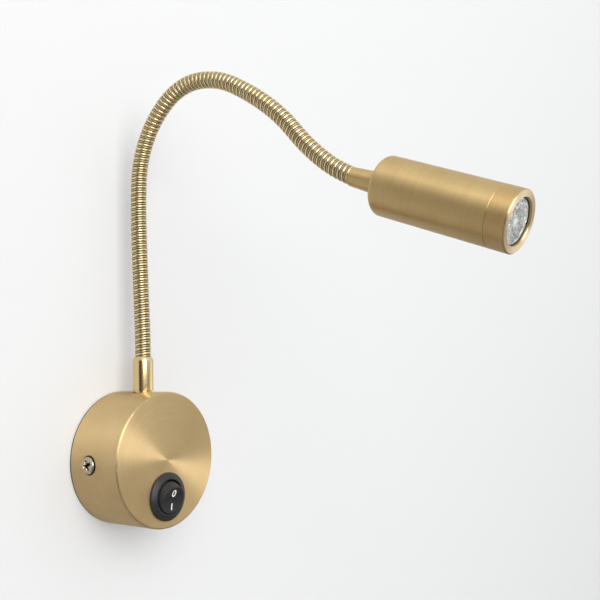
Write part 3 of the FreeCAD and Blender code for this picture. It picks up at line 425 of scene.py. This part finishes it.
def pan_height(x, y):
    """Height of the head's top at a point: domed pan with rounded shoulder and cross recess."""
    r = min(math.hypot(x, y) / screw_head_r, 1.0)
    dome = screw_head_h * (0.97 - 0.20 * r * r)
    inset = (1 - r) * screw_head_r
    if inset < screw_shoulder:
        dome -= screw_shoulder * (1 - math.sqrt(max(0.0, 1 - (1 - inset / screw_shoulder) ** 2)))
    return dome - cross_deep * recess(x, y)


def ring(spokes, r, z):
    """Points round the axis at a radius, at the height that z gives for each place."""
    points = []
    for j in range(spokes):
        a = 2 * math.pi * j / spokes
        x, y = r * math.cos(a), r * math.sin(a)
        points.append((x, y, z(x, y)))
    return points


def skin(spokes, rings):
    """Faces from a first point over rings of points to a last point."""
    faces = []
    last = 1 + (rings - 1) * spokes
    for j in range(spokes):
        n = (j + 1) % spokes
        faces.append((0, 1 + j, 1 + n))
        for p in range(1, last, spokes):
            faces.append((p + j, p + spokes + j, p + spokes + n, p + n))
        faces.append((last + j, last + spokes, last + n))
    return faces


points = [(0, 0, pan_height(0, 0))]
for k in range(1, rings + 1):
    points += ring(spokes, screw_head_r * k / rings, pan_height)
for r, z in ((screw_head_r, 0.0), (screw_shank_r, 0.0), (screw_shank_r, -screw_len + screw_point),
             (screw_shank_r - screw_point, -screw_len)):
    points += ring(spokes, r, lambda x, y: z)
points.append((0, 0, -screw_len))
faces = skin(spokes, rings + 4)
screw_mesh = bpy.data.meshes.new("side_screw_pattern")
screw_mesh.from_pydata(points, [], faces)
screw_mesh.shade_smooth()
sunken = screw_mesh.attributes.new("recess", "FLOAT", "POINT")
for k, (x, y, z) in enumerate(points):
    sunken.data[k].value = recess(x, y) if z > 0.0002 else 0.0
screw_pattern = bpy.data.objects.new("side_screw_pattern", screw_mesh)

steel, tree, shader, output = start_material("nickelled_screw", 1.0)
wear = noise(tree, 900.0, 3.0)
tone = two_tones(tree, wear, 0.35, (0.45, 0.38, 0.28), 0.65, (0.66, 0.58, 0.46))
cross = add(tree, "ShaderNodeAttribute", attribute_name="recess")
# painted shade: the cross recess is painted near black, by how deep each point lies in it
recess_painted_shade = mixed(tree, "ShaderNodeMixRGB", cross.outputs["Fac"], tone, (0.012, 0.010, 0.008, 1))
surface(tree, shader, recess_painted_shade, rough=(wear, 0.20, 0.10), dents=(wear, 0.15, 0.00002))


def geometry_group(name, kinds):
    """A geometry node group with these inputs by label, its input node and its output node."""
    group = bpy.data.node_groups.new(name, "GeometryNodeTree")
    group.interface.new_socket("Geometry", in_out="OUTPUT", socket_type="NodeSocketGeometry")
    for label, kind in {"Geometry": "Geometry", **kinds}.items():
        group.interface.new_socket(label, in_out="INPUT", socket_type="NodeSocket" + kind)
    return group, add(group, "NodeGroupInput"), add(group, "NodeGroupOutput")


def hand_over(group, geometry, material, leave):
    """The group's result, as real geometry with its material."""
    real = add(group, "GeometryNodeRealizeInstances", {0: geometry})
    painted = add(group, "GeometryNodeSetMaterial", {"Geometry": real.outputs[0], "Material": material})
    group.links.new(painted.outputs[0], leave.inputs[0])


def grown(name, pattern, group, settings):
    """The pattern after a node tree with these inputs, as a plain mesh piece of its own."""
    scene.collection.objects.link(pattern)
    modifier = pattern.modifiers.new("grow", "NODES")
    modifier.node_group = group
    for item in group.interface.items_tree:
        if item.in_out == "INPUT" and item.name in settings:
            modifier[item.identifier] = settings[item.name]
    seen = pattern.evaluated_get(bpy.context.evaluated_depsgraph_get())
    mesh = bpy.data.meshes.new_from_object(seen)
    mesh.name = name
    piece = bpy.data.objects.new(name, mesh)
    scene.collection.objects.link(piece)
    pattern.modifiers.remove(modifier)
    scene.collection.objects.unlink(pattern)
    return piece


# one screw on each side, seated in its spot face and turned the way it was driven
pair, enter, leave = geometry_group("screws_in_pairs", {"Seat": "Float", "Depth": "Float", "Driven": "Float"})
joined = add(pair, "GeometryNodeJoinGeometry")
for side in (-1.0, 1.0):
    across = maths(pair, "MULTIPLY", enter.outputs["Seat"], side)
    spot = add(pair, "ShaderNodeCombineXYZ", {0: across, 1: enter.outputs["Depth"]})
    drive = add(pair, "ShaderNodeCombineXYZ", {2: enter.outputs["Driven"]})
    driven = add(pair, "GeometryNodeTransform",
                 {"Geometry": enter.outputs["Geometry"], "Rotation": drive.outputs[0]})
    laid = add(pair, "GeometryNodeTransform", {"Geometry": driven.outputs[0], "Translation": spot.outputs[0],
                                               "Rotation": (0, math.pi / 2 * side, 0)})
    pair.links.new(laid.outputs[0], joined.inputs[0])
hand_over(pair, joined.outputs[0], steel, leave)
screws = grown("side_screw_pair", screw_pattern, pair,
               {"Seat": screw_seat, "Depth": screw_depth, "Driven": math.radians(25.0)})
bpy.data.objects.remove(screw_pattern)
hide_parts("side_screws")
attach(screws, "base")

# ---- Switch housing --------------------------------------------------
# A moulded black nylon can snapped into the cover's face, with a bevelled flange in front and a
# round opening for the rocker. Fine spark-eroded grain, softly rounded edges.
switch_height = -0.0174
to_switch = Matrix.Translation((0, cover_face, switch_height)) @ Matrix.Rotation(math.pi / 2, 4, "X")
housing_outline = rounded([
    (0.0, -0.0160, 0), (0.0099, -0.0160, 0.0004), (0.0099, 0.0, 0), (0.0115, 0.0, 0.00012),
    (0.0115, 0.0007, 0.0003), (0.0090, 0.0020, 0.00035), (0.0082, 0.0020, 0.00022),
    (0.0082, -0.0149, 0.0002), (0.0, -0.0149, 0)])
lug_half, lugs = 0.002, []
lug_outline = ((0.0095, -0.00125), (0.0108, -0.00125), (0.0097, -0.0057), (0.0095, -0.0057))
for side in (-1, 1):
    box = []
    for w in (-lug_half, lug_half):
        for r, z in lug_outline:
            box.append((side * r, side * w, z))
    lugs.append((box, [(0, 1, 2, 3), (7, 6, 5, 4), (0, 4, 5, 1), (1, 5, 6, 2), (2, 6, 7, 3), (3, 7, 4, 0)]))

nylon, tree, shader, output = start_material("black_nylon")
hands = noise(tree, 260.0, 4.0)
surface(tree, shader, two_tones(tree, hands, 0.3, (0.010, 0.010, 0.011), 0.7, (0.019, 0.019, 0.021)),
        rough=(hands, 0.18, 0.34), dents=(noise(tree, 7000.0, 3.0, 0.6), 0.35, 0.00002))

housing = moulded("switch_can", [turned_points(housing_outline, 96)] + lugs, to_switch, nylon)
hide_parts("switch_housing")
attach(housing, "base")

# ---- Rocker ----------------------------------------------------------
# The moulded black button, dished along its length, that tips on a cross pin in the housing. Its
# lower half is pressed in. The O and I are printed white on the dished face.
rocker_r, rocker_tilt, rocker_pivot = 0.00805, math.radians(15.0), 0.0013
rocker_top, rocker_dish, rocker_skirt, rocker_edge = 0.0048, 0.0240, 0.0030, 0.00045
pin_r, pin_len, pin_chamfer, pin_at = 0.0011, 0.0024, 0.0002, 0.0069
to_rocker = to_switch @ Matrix.Translation((0, 0, -rocker_pivot)) @ Matrix.Rotation(rocker_tilt, 4, "X")


def dish(y):
    """Height of the dished face above the pivot."""
    return rocker_top + rocker_dish - math.sqrt(rocker_dish ** 2 - y * y)


def rocker_reach(a, z):
    """How far the button's side stands from its middle, in direction a at height z."""
    low, high = 0.0, rocker_r
    for _ in range(30):
        r = (low + high) / 2
        x, y = r * math.cos(a), abs(r * math.sin(a))
        half = math.sqrt(max(0.0, rocker_r ** 2 - x * x))
        if y <= half and y * math.cos(rocker_tilt) + abs(z) * math.sin(rocker_tilt) <= half:
            low = r
        else:
            high = r
    return low


spokes = 120
points = [(0, 0, dish(0))]
levels = [("face", k / 24) for k in range(1, 25)] + [("edge", k / 5) for k in range(1, 6)]
levels += [("side", k / 8) for k in range(1, 9)] + [("foot", 0.8), ("foot", 0.4)]
for kind, t in levels:
    for j in range(spokes):
        a = 2 * math.pi * j / spokes
        top = rocker_top
        for _ in range(4):
            reach = rocker_reach(a, top)
            top = dish(reach * math.sin(a))
        flat = reach - rocker_edge
        if kind == "face":
            r = flat * t
            z = dish(r * math.sin(a))
        elif kind == "edge":
            turn = t * math.pi / 2
            r = reach - rocker_edge * (1 - math.sin(turn))
            z = dish(flat * math.sin(a)) - rocker_edge * (1 - math.cos(turn))
        else:
            foot = -rocker_skirt
            start = dish(flat * math.sin(a)) - rocker_edge
            z = start + (foot - start) * (t if kind == "side" else 1)
            r = min(reach if t < 0.2 and kind == "side" else rocker_reach(a, z), rocker_reach(a, z))
            if kind == "foot":
                r = rocker_reach(a, foot) * t
        points.append((r * math.cos(a), r * math.sin(a), z))
points.append((0, 0, -rocker_skirt))
pins = []
for side in (-1, 1):
    pin, pin_faces = turned_points([(0, 0), (pin_r, 0), (pin_r, pin_len - pin_chamfer),
                                    (pin_r - pin_chamfer, pin_len), (0, pin_len)], 24)
    turn_pin = Matrix.Translation((side * pin_at, 0, 0)) @ Matrix.Rotation(side * math.pi / 2, 4, "Y")
    pins.append(([tuple(turn_pin @ Vector(p)) for p in pin], [f[::-1] for f in pin_faces]))
button = moulded("rocker_button", [(points, skin(spokes, len(levels)))] + pins, to_rocker, nylon, 50)
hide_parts("switch_rocker")
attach(button, "rocker")

ink, tree, shader, output = start_material("white_ink")
speck = noise(tree, 3000.0, 3.0)
surface(tree, shader, two_tones(tree, speck, 0.3, (0.80, 0.80, 0.78), 0.6, (0.93, 0.93, 0.91)),
        rough=(speck, 0.2, 0.5))
mark_off, ring_wide, ring_high, ring_half = 0.00327, 0.00098, 0.00148, 0.00031
bar_long, bar_half, proud, sunk = 0.0031, 0.00034, 0.00003, 0.00015


def stroke(sections, loop):
    """Points and faces through sections of four corners, joined up in a loop or capped."""
    points = [(x, y, dish(y) + lift) for section in sections for x, y, lift in section]
    faces = []
    for j in range(len(sections) if loop else len(sections) - 1):
        p, q = 4 * j, 4 * ((j + 1) % len(sections))
        faces += [(p + c, p + (c + 1) % 4, q + (c + 1) % 4, q + c) for c in range(4)]
    if not loop:
        faces += [(0, 3, 2, 1), tuple(range(len(points) - 4, len(points)))]
    return points, faces


# the ring above the middle and the bar below it, each from just under the face to just over it
corners = ((-1, -sunk), (-1, proud), (1, proud), (1, -sunk))
round_ring, down_bar = [], []
for j in range(48):
    a = 2 * math.pi * j / 48
    round_ring.append([((ring_wide + way * ring_half) * math.cos(a),
                        mark_off + (ring_high + way * ring_half) * math.sin(a), lift)
                       for way, lift in corners])
for k in range(9):
    down_bar.append([(way * bar_half, -mark_off + bar_long * (k / 8 - 0.5), lift) for way, lift in corners])
mark_parts = [stroke(round_ring, True), stroke(down_bar, False)]
marks = moulded("rocker_marks", mark_parts, to_rocker, ink)
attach(marks, "rocker")

# ---- Switch contacts -------------------------------------------------
# Stamped brass see-saw, blades and sprung plunger inside the can, with white sleeves on the
# blades. The terminal block's clamp barrels are the same bright brass.
bright = turned_brass("bright_brass", (0, 0, 0), (0, 1, 0), (0.86, 0.70, 0.40), (0.72, 0.56, 0.29),
                      rough=0.26, spread=0.2, line=1800.0, depth=0.00002)
dress(bright, "switch_seesaw", "switch_blades", "switch_plunger", "terminal_barrels")
dress(zinc, "switch_spring")

white_nylon, tree, shader, output = start_material("white_nylon")
grain = noise(tree, 2500.0, 4.0)
surface(tree, shader, two_tones(tree, grain, 0.3, (0.70, 0.70, 0.67), 0.7, (0.80, 0.80, 0.78)),
        rough=(grain, 0.2, 0.4), dents=(grain, 0.2, 0.00002))
dress(white_nylon, "blade_sleeves", "terminal_block", "driver_case", "driver_lid")

# ---- Driver and wires ------------------------------------------------
# A small driver board in a moulded case on the plate, with sleeved wires from the terminal block
# to the switch, the driver and the earth tag.


def sleeve(name, first, second, rough=0.4, stripes=0):
    """Extruded or moulded colour with a fine mottle, or two colours in bands."""
    material, tree, shader, output = start_material(name)
    mottle = amount = noise(tree, 2200.0, 3.0)
    if stripes:
        amount = over_object(tree, "ShaderNodeTexWave", {1: stripes, 2: 0.6}).outputs[1]
    surface(tree, shader, two_tones(tree, amount, 0.4, first, 0.6, second),
            rough=(mottle, 0.15, rough), dents=(mottle, 0.15, 0.00002))
    return material


dress(sleeve("brown_sleeve", (0.16, 0.065, 0.03), (0.21, 0.09, 0.04)), "wire_live", "wire_switched")
dress(sleeve("blue_sleeve", (0.05, 0.16, 0.46), (0.07, 0.20, 0.54)), "wire_neutral")
dress(sleeve("earth_sleeve", (0.20, 0.42, 0.08), (0.80, 0.72, 0.10), stripes=160.0), "wire_earth")
dress(sleeve("circuit_board", (0.035, 0.15, 0.07), (0.06, 0.22, 0.10), 0.3), "driver_board")
dress(sleeve("moulded_components", (0.015, 0.015, 0.016), (0.05, 0.05, 0.052), 0.3), "driver_parts")
dress(sleeve("red_core", (0.38, 0.03, 0.025), (0.48, 0.05, 0.04)), "base_cores", "head_cores")

# ---- Base ferrule ----------------------------------------------------
# A turned and polished brass sleeve, its nipple clamped through the cover's side by a lock nut,
# which holds the foot of the neck.
neck_back = -0.0157
polished = turned_brass("polished_brass_ferrule", (0, neck_back, cover_r), (0, 0, 1), (0.82, 0.64, 0.35),
                        (0.72, 0.55, 0.28), rough=0.18, spread=0.3, line=9000.0, depth=0.000002)
ferrule_outline = rounded([
    (0.0018, -0.0080, 0), (0.0045, -0.0080, 0), (0.0049, -0.0076, 0), (0.0049, -0.0016, 0),
    (0.0043, -0.0012, 0), (0.0043, 0.0005, 0), (0.0050, 0.0004, 0.0002), (0.0050, 0.0152, 0.0005),
    (0.0043, 0.0170, 0.0002), (0.0034, 0.0170, 0.0002), (0.0034, 0.0080, 0), (0.0018, 0.0080, 0)])
sleeve_piece = moulded("base_sleeve", [turned_points(ferrule_outline, 96, loop=True)],
                       Matrix.Translation((0, neck_back, cover_r)), polished, 30)
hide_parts("base_ferrule")
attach(sleeve_piece, "base")

# ---- Neck ------------------------------------------------------------
# A flexible tube wound from round brass wire, right-handed, nine turns to each of its twelve
# lengths, with a second, lower wire in the gap between turns, so that it stays where it is bent.
# The crests are polished; the grooves between the two wires are painted near black, as painted shade.
neck_foot, neck_length, neck_turns = 0.0495, 0.0219, 9
neck_pitch = neck_length / neck_turns
neck_out, neck_wire, neck_bore = 0.00399, 0.00072, 0.0018
second_wire, second_low, groove_deep = 0.00068, 0.00018, 0.00070
neck_end_bare, end_slack, weld_within = 0.0057, 0.00009, 0.000015
neck_bends = [-2.9, 0.7, 0.7, 5.0, 24.8, 26.2, 39.0, 25.3, 8.3, 12.8, -11.3, -18.6]
lead_foot, lead_head = 0.0275, 0.0270
foot_steps, arc_steps, head_steps = 55, 60, 54
# the centreline: straight up out of the base, then an arc for each length, then into the head
y, z, lean = neck_back, neck_foot, 0.0
route = [(neck_back, neck_foot - lead_foot + step * lead_foot / foot_steps) for step in range(foot_steps + 1)]
for bend in neck_bends:
    curve = math.radians(bend) / neck_length
    begin = (y, z, lean)
    for step in range(1, arc_steps + 1):
        lean = begin[2] + curve * neck_length * step / arc_steps
        y = begin[0] + (math.cos(lean) - math.cos(begin[2])) / curve
        z = begin[1] + (math.sin(lean) - math.sin(begin[2])) / curve
        route.append((y, z))
for step in range(1, head_steps + 1):
    far = lead_head * step / head_steps
    route.append((y - math.sin(lean) * far, z + math.cos(lean) * far))
line = bpy.data.curves.new("neck_line", "CURVE")
line.dimensions = "3D"
spline = line.splines.new("POLY")
spline.points.add(len(route) - 1)
for point, (y, z) in zip(spline.points, route):
    point.co = (0, y, z, 1)
neck_line = bpy.data.objects.new("neck_line", line)

wire, tree, shader, output = start_material("polished_brass_wire", 1.0)
groove = add(tree, "ShaderNodeAttribute", attribute_name="groove")
# painted shade: near black painted into the grooves where the two wires meet, which are also made rougher
groove_painted_shade = ranged(tree, groove.outputs["Fac"], 0.14, 0.48, 0.0, 0.98)
tone = two_tones(tree, noise(tree, 650.0, 4.0, 0.6), 0.3, (0.74, 0.56, 0.29), 0.7, (0.94, 0.79, 0.47))
shadow = mixed(tree, "ShaderNodeMixRGB", groove_painted_shade, tone, (0.012, 0.008, 0.004, 1))
drawn = noise(tree, 2400.0, 3.0)
worn = maths(tree, "MULTIPLY_ADD", drawn, 0.12, 0.14)
surface(tree, shader, shadow, rough=(groove_painted_shade, 0.35, worn), dents=(drawn, 0.25, 0.00002))

winding, enter, leave = geometry_group("wound_tube", {
    "Rows": "Int", "Spokes": "Int", "Finish": "Material",
    **dict.fromkeys(("First turn", "Last turn", "Pitch", "Outer radius", "Wire radius", "Second radius",
                     "Second drop", "Rib", "Bore", "From", "To", "Foot"), "Float")})
given = enter.outputs


def calc(operation, *values):
    """The result of a Math node in the winding."""
    return maths(winding, operation, *values)


def crest_drop(radius, off):
    """How far a round wire's surface lies below its crest, at this distance along the tube."""
    square = calc("SUBTRACT", calc("MULTIPLY", radius, radius), calc("MULTIPLY", off, off))
    return calc("SUBTRACT", radius, calc("SQRT", calc("MAXIMUM", square, 0.0)))


# a flat grid, its rows along the winding and its spokes round the tube, held between two ends
sheet = add(winding, "GeometryNodeMeshGrid", {"Vertices X": given["Rows"], "Vertices Y": given["Spokes"]})
at = add(winding, "GeometryNodeInputPosition")
split = add(winding, "ShaderNodeSeparateXYZ", {0: at.outputs[0]})
part = calc("ADD", split.outputs[0], 0.5)
span = calc("SUBTRACT", given["Last turn"], given["First turn"])
turns = calc("MULTIPLY_ADD", part, span, given["First turn"])
around = split.outputs[1]
free = calc("MULTIPLY", calc("ADD", turns, around), given["Pitch"])
held = calc("MINIMUM", calc("MAXIMUM", free, given["From"]), given["To"])
# the outline of the two wires at this place, and the ends closed down to the bore
own = calc("SUBTRACT", calc("DIVIDE", held, given["Pitch"]), around)
off = calc("MULTIPLY", calc("SUBTRACT", own, calc("ROUND", own)), given["Pitch"])
first_drop = crest_drop(given["Wire radius"], off)
half_on = calc("SUBTRACT", calc("MULTIPLY", given["Pitch"], 0.5), calc("ABSOLUTE", off))
second_drop = calc("ADD", crest_drop(given["Second radius"], half_on), given["Second drop"])
drop = calc("MINIMUM", first_drop, second_drop)
body = calc("SUBTRACT", given["Outer radius"], calc("MULTIPLY", drop, given["Rib"]))
past = calc("GREATER_THAN", calc("ABSOLUTE", calc("SUBTRACT", free, held)), end_slack)
radius = calc("ADD", body, calc("MULTIPLY", calc("SUBTRACT", given["Bore"], body), past))
# each point goes out from the centreline, across it and in its own plane
sample = add(winding, "GeometryNodeSampleCurve",
             {"Curves": given["Geometry"], "Length": calc("ADD", held, given["Foot"])},
             mode="LENGTH", use_all_curves=True)
angle = calc("MULTIPLY", around, 2 * math.pi)
across = add(winding, "ShaderNodeCombineXYZ", {0: calc("MULTIPLY", radius, calc("COSINE", angle))})
beside = vector(winding, "CROSS_PRODUCT", sample.outputs["Tangent"], (1, 0, 0))
scaled = add(winding, "ShaderNodeVectorMath", operation="SCALE", inputs={
    0: beside.outputs[0], "Scale": calc("MULTIPLY", radius, calc("SINE", angle))})
spot = vector(winding, "ADD", vector(winding, "ADD", across.outputs[0], scaled.outputs[0]).outputs[0],
              sample.outputs["Position"])
# 1 where the two wires meet, 0 on their crests
deep = calc("ABSOLUTE", calc("SUBTRACT", first_drop, second_drop))
deep = calc("SUBTRACT", 1.0, calc("MINIMUM", calc("DIVIDE", deep, groove_deep), 1.0))
keep = add(winding, "GeometryNodeStoreNamedAttribute", data_type="FLOAT", domain="POINT", inputs={
    "Geometry": sheet.outputs["Mesh"], "Name": "groove", "Value": deep})
placed = add(winding, "GeometryNodeSetPosition", {"Geometry": keep.outputs[0], "Position": spot.outputs[0]})
weld = add(winding, "GeometryNodeMergeByDistance", {"Geometry": placed.outputs[0], "Distance": weld_within})
turned = add(winding, "GeometryNodeFlipFaces", {0: weld.outputs[0]})
smooth = add(winding, "GeometryNodeSetShadeSmooth", {"Geometry": turned.outputs[0]})
bent = add(winding, "GeometryNodeInputMeshEdgeAngle")
sharp = calc("GREATER_THAN", bent.outputs["Unsigned Angle"], 0.9)
crease = add(winding, "GeometryNodeSetShadeSmooth", domain="EDGE", inputs={
    "Geometry": smooth.outputs[0], "Selection": sharp, "Shade Smooth": False})
hand_over(winding, crease.outputs[0], given["Finish"], leave)


pivots, overlap, blend_reach = range(1, 12), neck_turns / 2, 0.0109
turns_past, turns_short = 1.5, 0.8
shared = {"Pitch": neck_pitch, "Wire radius": neck_wire, "Second radius": second_wire, "Foot": lead_foot}
for k in pivots:
    first = -turns_past if k == 1 else neck_turns * k - overlap
    last = neck_turns * 12 - turns_short if k == 11 else neck_turns * k + overlap
    piece = grown(f"neck_winding_{k:02d}", neck_line, winding, {
        **shared, "First turn": first, "Last turn": last, "Rows": int((last - first) * 24) + 1, "Spokes": 57,
        "Outer radius": neck_out, "Second drop": second_low, "Rib": 1.0, "Bore": neck_bore,
        "From": 0.0, "To": neck_length * 12 - neck_end_bare, "Finish": wire})
    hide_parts(*([f"neck_{k:02d}"] + (["neck_12"] if k == 11 else [])))
    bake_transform(piece)

# ---- LED lead --------------------------------------------------------
# One round black two-core lead from the base up through the neck to the head, bending with it. It
# is drawn in eleven lengths on the neck's centreline, one round each pivot.
lead_r = 0.00125
lead_sleeve = sleeve("black_sleeve", (0.012, 0.012, 0.013), (0.03, 0.03, 0.032))
for k in pivots:
    first = -lead_foot / neck_pitch - turns_past if k == 1 else neck_turns * k - overlap
    last = neck_turns * 12 + lead_head / neck_pitch + turns_past if k == 11 else neck_turns * k + overlap
    rows = max(19, int(round((last - first) * 2)) + 1)
    piece = grown(f"lead_run_{k:02d}", neck_line, winding, {
        **shared, "First turn": first, "Last turn": last, "Rows": rows, "Spokes": 21,
        "Outer radius": lead_r, "Second drop": 0.0, "Rib": 0.0, "Bore": 0.00002,
        "From": -lead_foot, "To": neck_length * 12 + lead_head, "Finish": lead_sleeve})
    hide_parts("led_lead")
    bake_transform(piece)
bpy.data.objects.remove(neck_line)

# ---- Head ferrule ----------------------------------------------------
# A tapered brass sleeve, satin turned, pushed over the neck's plain end and screwed through the
# barrel's back.
head_back, head_turn = Vector((0, -0.153956, 0.117816)), math.radians(110)
head_way = Vector((0, -math.sin(head_turn), math.cos(head_turn)))
head_brass = turned_brass("satin_brass_head", head_back, head_way, (0.72, 0.53, 0.255), (0.60, 0.43, 0.20),
                          rough=0.40, spread=0.88, line=9000.0, depth=0.000004)
dress(head_brass, "head_ferrule")

# ---- Barrel and front bezel ------------------------------------------
# A turned brass tube, closed and rounded at the back, with a screwed front ring that holds the
# lens. Both are brushed round the axis like the cover; a fine seam shows where they meet.
dress(head_brass, "head_barrel")
bezel_brass = turned_brass("satin_brass_bezel", head_back, head_way, (0.71, 0.50, 0.235), (0.60, 0.41, 0.18),
                           rough=0.40, spread=0.88, line=9000.0, depth=0.000004)
# painted shade: the bore in front of the lens is painted dull black, for the shade deep in the recess
shade_painted_near_axis(bezel_brass, head_back, head_way, within=0.00940, below=0.0601)
# its flat front edge was faced last and is paler
tree, faced_from = bezel_brass.node_tree, 0.0607
along = from_axis(tree, head_back, head_way)[3]
recoloured(bezel_brass, maths(tree, "GREATER_THAN", along, faced_from), (0.80, 0.64, 0.41, 1))
dress(bezel_brass, "front_bezel")

# ---- Heat sink, LED board and emitter --------------------------------
# A turned aluminium slug with cooling grooves sits in the barrel behind the lens. It carries the
# round white board with the yellow emitter in its middle.
dress(turned_brass("turned_aluminium", head_back, head_way, (0.80, 0.81, 0.82), (0.66, 0.67, 0.68),
                   rough=0.28, spread=0.5, line=2200.0, depth=0.00002), "heat_sink")
dress(white_nylon, "led_board")
dress(sleeve("phosphor_yellow", (0.80, 0.58, 0.10), (0.88, 0.70, 0.18), 0.15), "led_emitter")

# ---- Lens and holder -------------------------------------------------
# A clear moulded collimator cone in a black holder behind the bezel, with a shallow dimple and
# fine radial flutes in front. Its fluted back cone is silvered, with a clear pocket at the LED.
to_head = Matrix.Translation(head_back) @ Matrix.Rotation(head_turn, 4, "X")
lens_spokes, lens_flutes, facets_round, facet_row = 144, 24, 32, 0.0009
front_from, front_in, front_out, front_deep = 0.05975, 0.0035, 0.0085, 0.00022
cone_from, cone_to, cone_in, cone_deep = 0.0470, 0.0579, 0.0030, 0.10
silver_to, silver_in = 0.0581, 0.0032
lens_outline = rounded([
    (0.0, 0.0495, 0), (0.0024, 0.0491, 0.0003), (0.0026, 0.0459, 0.0001), (0.0034, 0.0459, 0.0001),
    (0.0054, 0.0495, 0), (0.0072, 0.0533, 0), (0.0086, 0.0580, 0), (0.0089, 0.0580, 0.0001),
    (0.0089, 0.0598, 0.0002), (0.0080, 0.0598, 0), (0.0066, 0.0598, 0), (0.0052, 0.0598, 0),
    (0.0040, 0.0598, 0), (0.0030, 0.0598, 0.0002), (0.0026, 0.0593, 0.0003), (0.0, 0.0595, 0)])
lens_points, lens_faces = turned_points(lens_outline, lens_spokes)
fluted = []
for x, y, z in lens_points:
    wave = 0.5 - 0.5 * math.cos(lens_flutes * math.atan2(y, x))
    if z > front_from and front_in < math.hypot(x, y) < front_out:
        z -= front_deep * wave
    elif cone_from < z < cone_to and math.hypot(x, y) > cone_in:
        x, y = x * (1 - cone_deep * wave), y * (1 - cone_deep * wave)
    fluted.append((x, y, z))
clear_lens, tree, shader, output = start_material("clear_acrylic")
shader.inputs["Transmission Weight"].default_value = 1.0
shader.inputs["IOR"].default_value = 1.49
shader.inputs["Base Color"].default_value = (0.97, 0.985, 0.97, 1)
ripple = noise(tree, 700.0, 3.0)
tree.links.new(maths(tree, "MULTIPLY", ripple, 0.05), shader.inputs["Roughness"])
dents = add(tree, "ShaderNodeBump", {0: 0.2, 1: 0.00004, "Height": ripple})
tree.links.new(dents.outputs[0], shader.inputs["Normal"])
# painted reflections on the silvering: rows of small facets, each painted bright or dull as a glint and
# darker at its edges; lower down soft painted streaks, dimmer towards one side
local = add(tree, "ShaderNodeAttribute", attribute_name="local")
across = add(tree, "ShaderNodeSeparateXYZ", {0: local.outputs["Vector"]})
flat = add(tree, "ShaderNodeCombineXYZ", {0: across.outputs[0], 1: across.outputs[1]})
row = maths(tree, "DIVIDE", vector(tree, "LENGTH", flat.outputs[0]).outputs["Value"], facet_row)
row_number = maths(tree, "FLOOR", row)
turn = maths(tree, "ARCTAN2", across.outputs[1], across.outputs[0])
turn = maths(tree, "MULTIPLY_ADD", turn, facets_round / math.tau, maths(tree, "MULTIPLY", row_number, 0.5))
cell = add(tree, "ShaderNodeCombineXYZ", {0: maths(tree, "FLOOR", turn), 1: row_number})
flash = add(tree, "ShaderNodeTexWhiteNoise", {"Vector": cell.outputs[0]}, noise_dimensions="2D")
edge = maths(tree, "MINIMUM", maths(tree, "PINGPONG", turn, 0.5), maths(tree, "PINGPONG", row, 0.5))
sides = ranged(tree, edge, 0.0, 0.14, 0.22, 1.0)
shine = ranged(tree, flash.outputs["Value"], 0.1, 0.9, 0.42, 1.0)
drawn = add(tree, "ShaderNodeCombineXYZ", {0: maths(tree, "MULTIPLY", turn, 0.8),
                                           1: maths(tree, "MULTIPLY", row, 0.25)})
streak = add(tree, "ShaderNodeTexNoise", {0: drawn.outputs[0], 2: 1.0, 3: 2.0}, noise_dimensions="2D")
streaks = ranged(tree, streak.outputs[0], 0.38, 0.62, 0.50, 1.0)
far_side = ranged(tree, across.outputs[0], -0.003, 0.005, 1.0, 0.70)
plain = ranged(tree, across.outputs[1], -0.004, 0.002, 0.0, 1.0)
level = add(tree, "ShaderNodeMix", {0: plain, 2: maths(tree, "MULTIPLY", streaks, far_side),
                                    3: maths(tree, "MULTIPLY", sides, shine)}, data_type="FLOAT").outputs[0]
tint = add(tree, "ShaderNodeCombineColor", {
    channel: maths(tree, "MULTIPLY", level, share) for channel, share in enumerate((0.985, 0.99, 0.975))})
# painted light: the silvering glows faintly in the colour of its painted reflections
silver = add(tree, "ShaderNodeBsdfPrincipled", {
    "Metallic": 0.8, "Roughness": maths(tree, "MULTIPLY_ADD", ripple, 0.10, 0.03),
    "Base Color": tint.outputs[0], "Emission Color": tint.outputs[0], "Emission Strength": 0.34})
coat = add(tree, "ShaderNodeAttribute", attribute_name="silver")
coat = maths(tree, "GREATER_THAN", coat.outputs["Fac"], 0.5)
coated = mixed(tree, "ShaderNodeMixShader", coat, shader.outputs[0], silver.outputs[0])
tree.links.new(coated, output.inputs[0])
cone = moulded("lens_cone", [(fluted, lens_faces)], to_head, clear_lens, 12)
coat = cone.data.attributes.new("silver", "FLOAT", "POINT")
for k, (x, y, z) in enumerate(fluted):
    coat.data[k].value = 1.0 if z < silver_to and math.hypot(x, y) > silver_in else 0.0
local = cone.data.attributes.new("local", "FLOAT_VECTOR", "POINT")
for k, point in enumerate(fluted):
    local.data[k].vector = point
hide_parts("lens")
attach(cone, "head")
dress(nylon, "lens_holder")
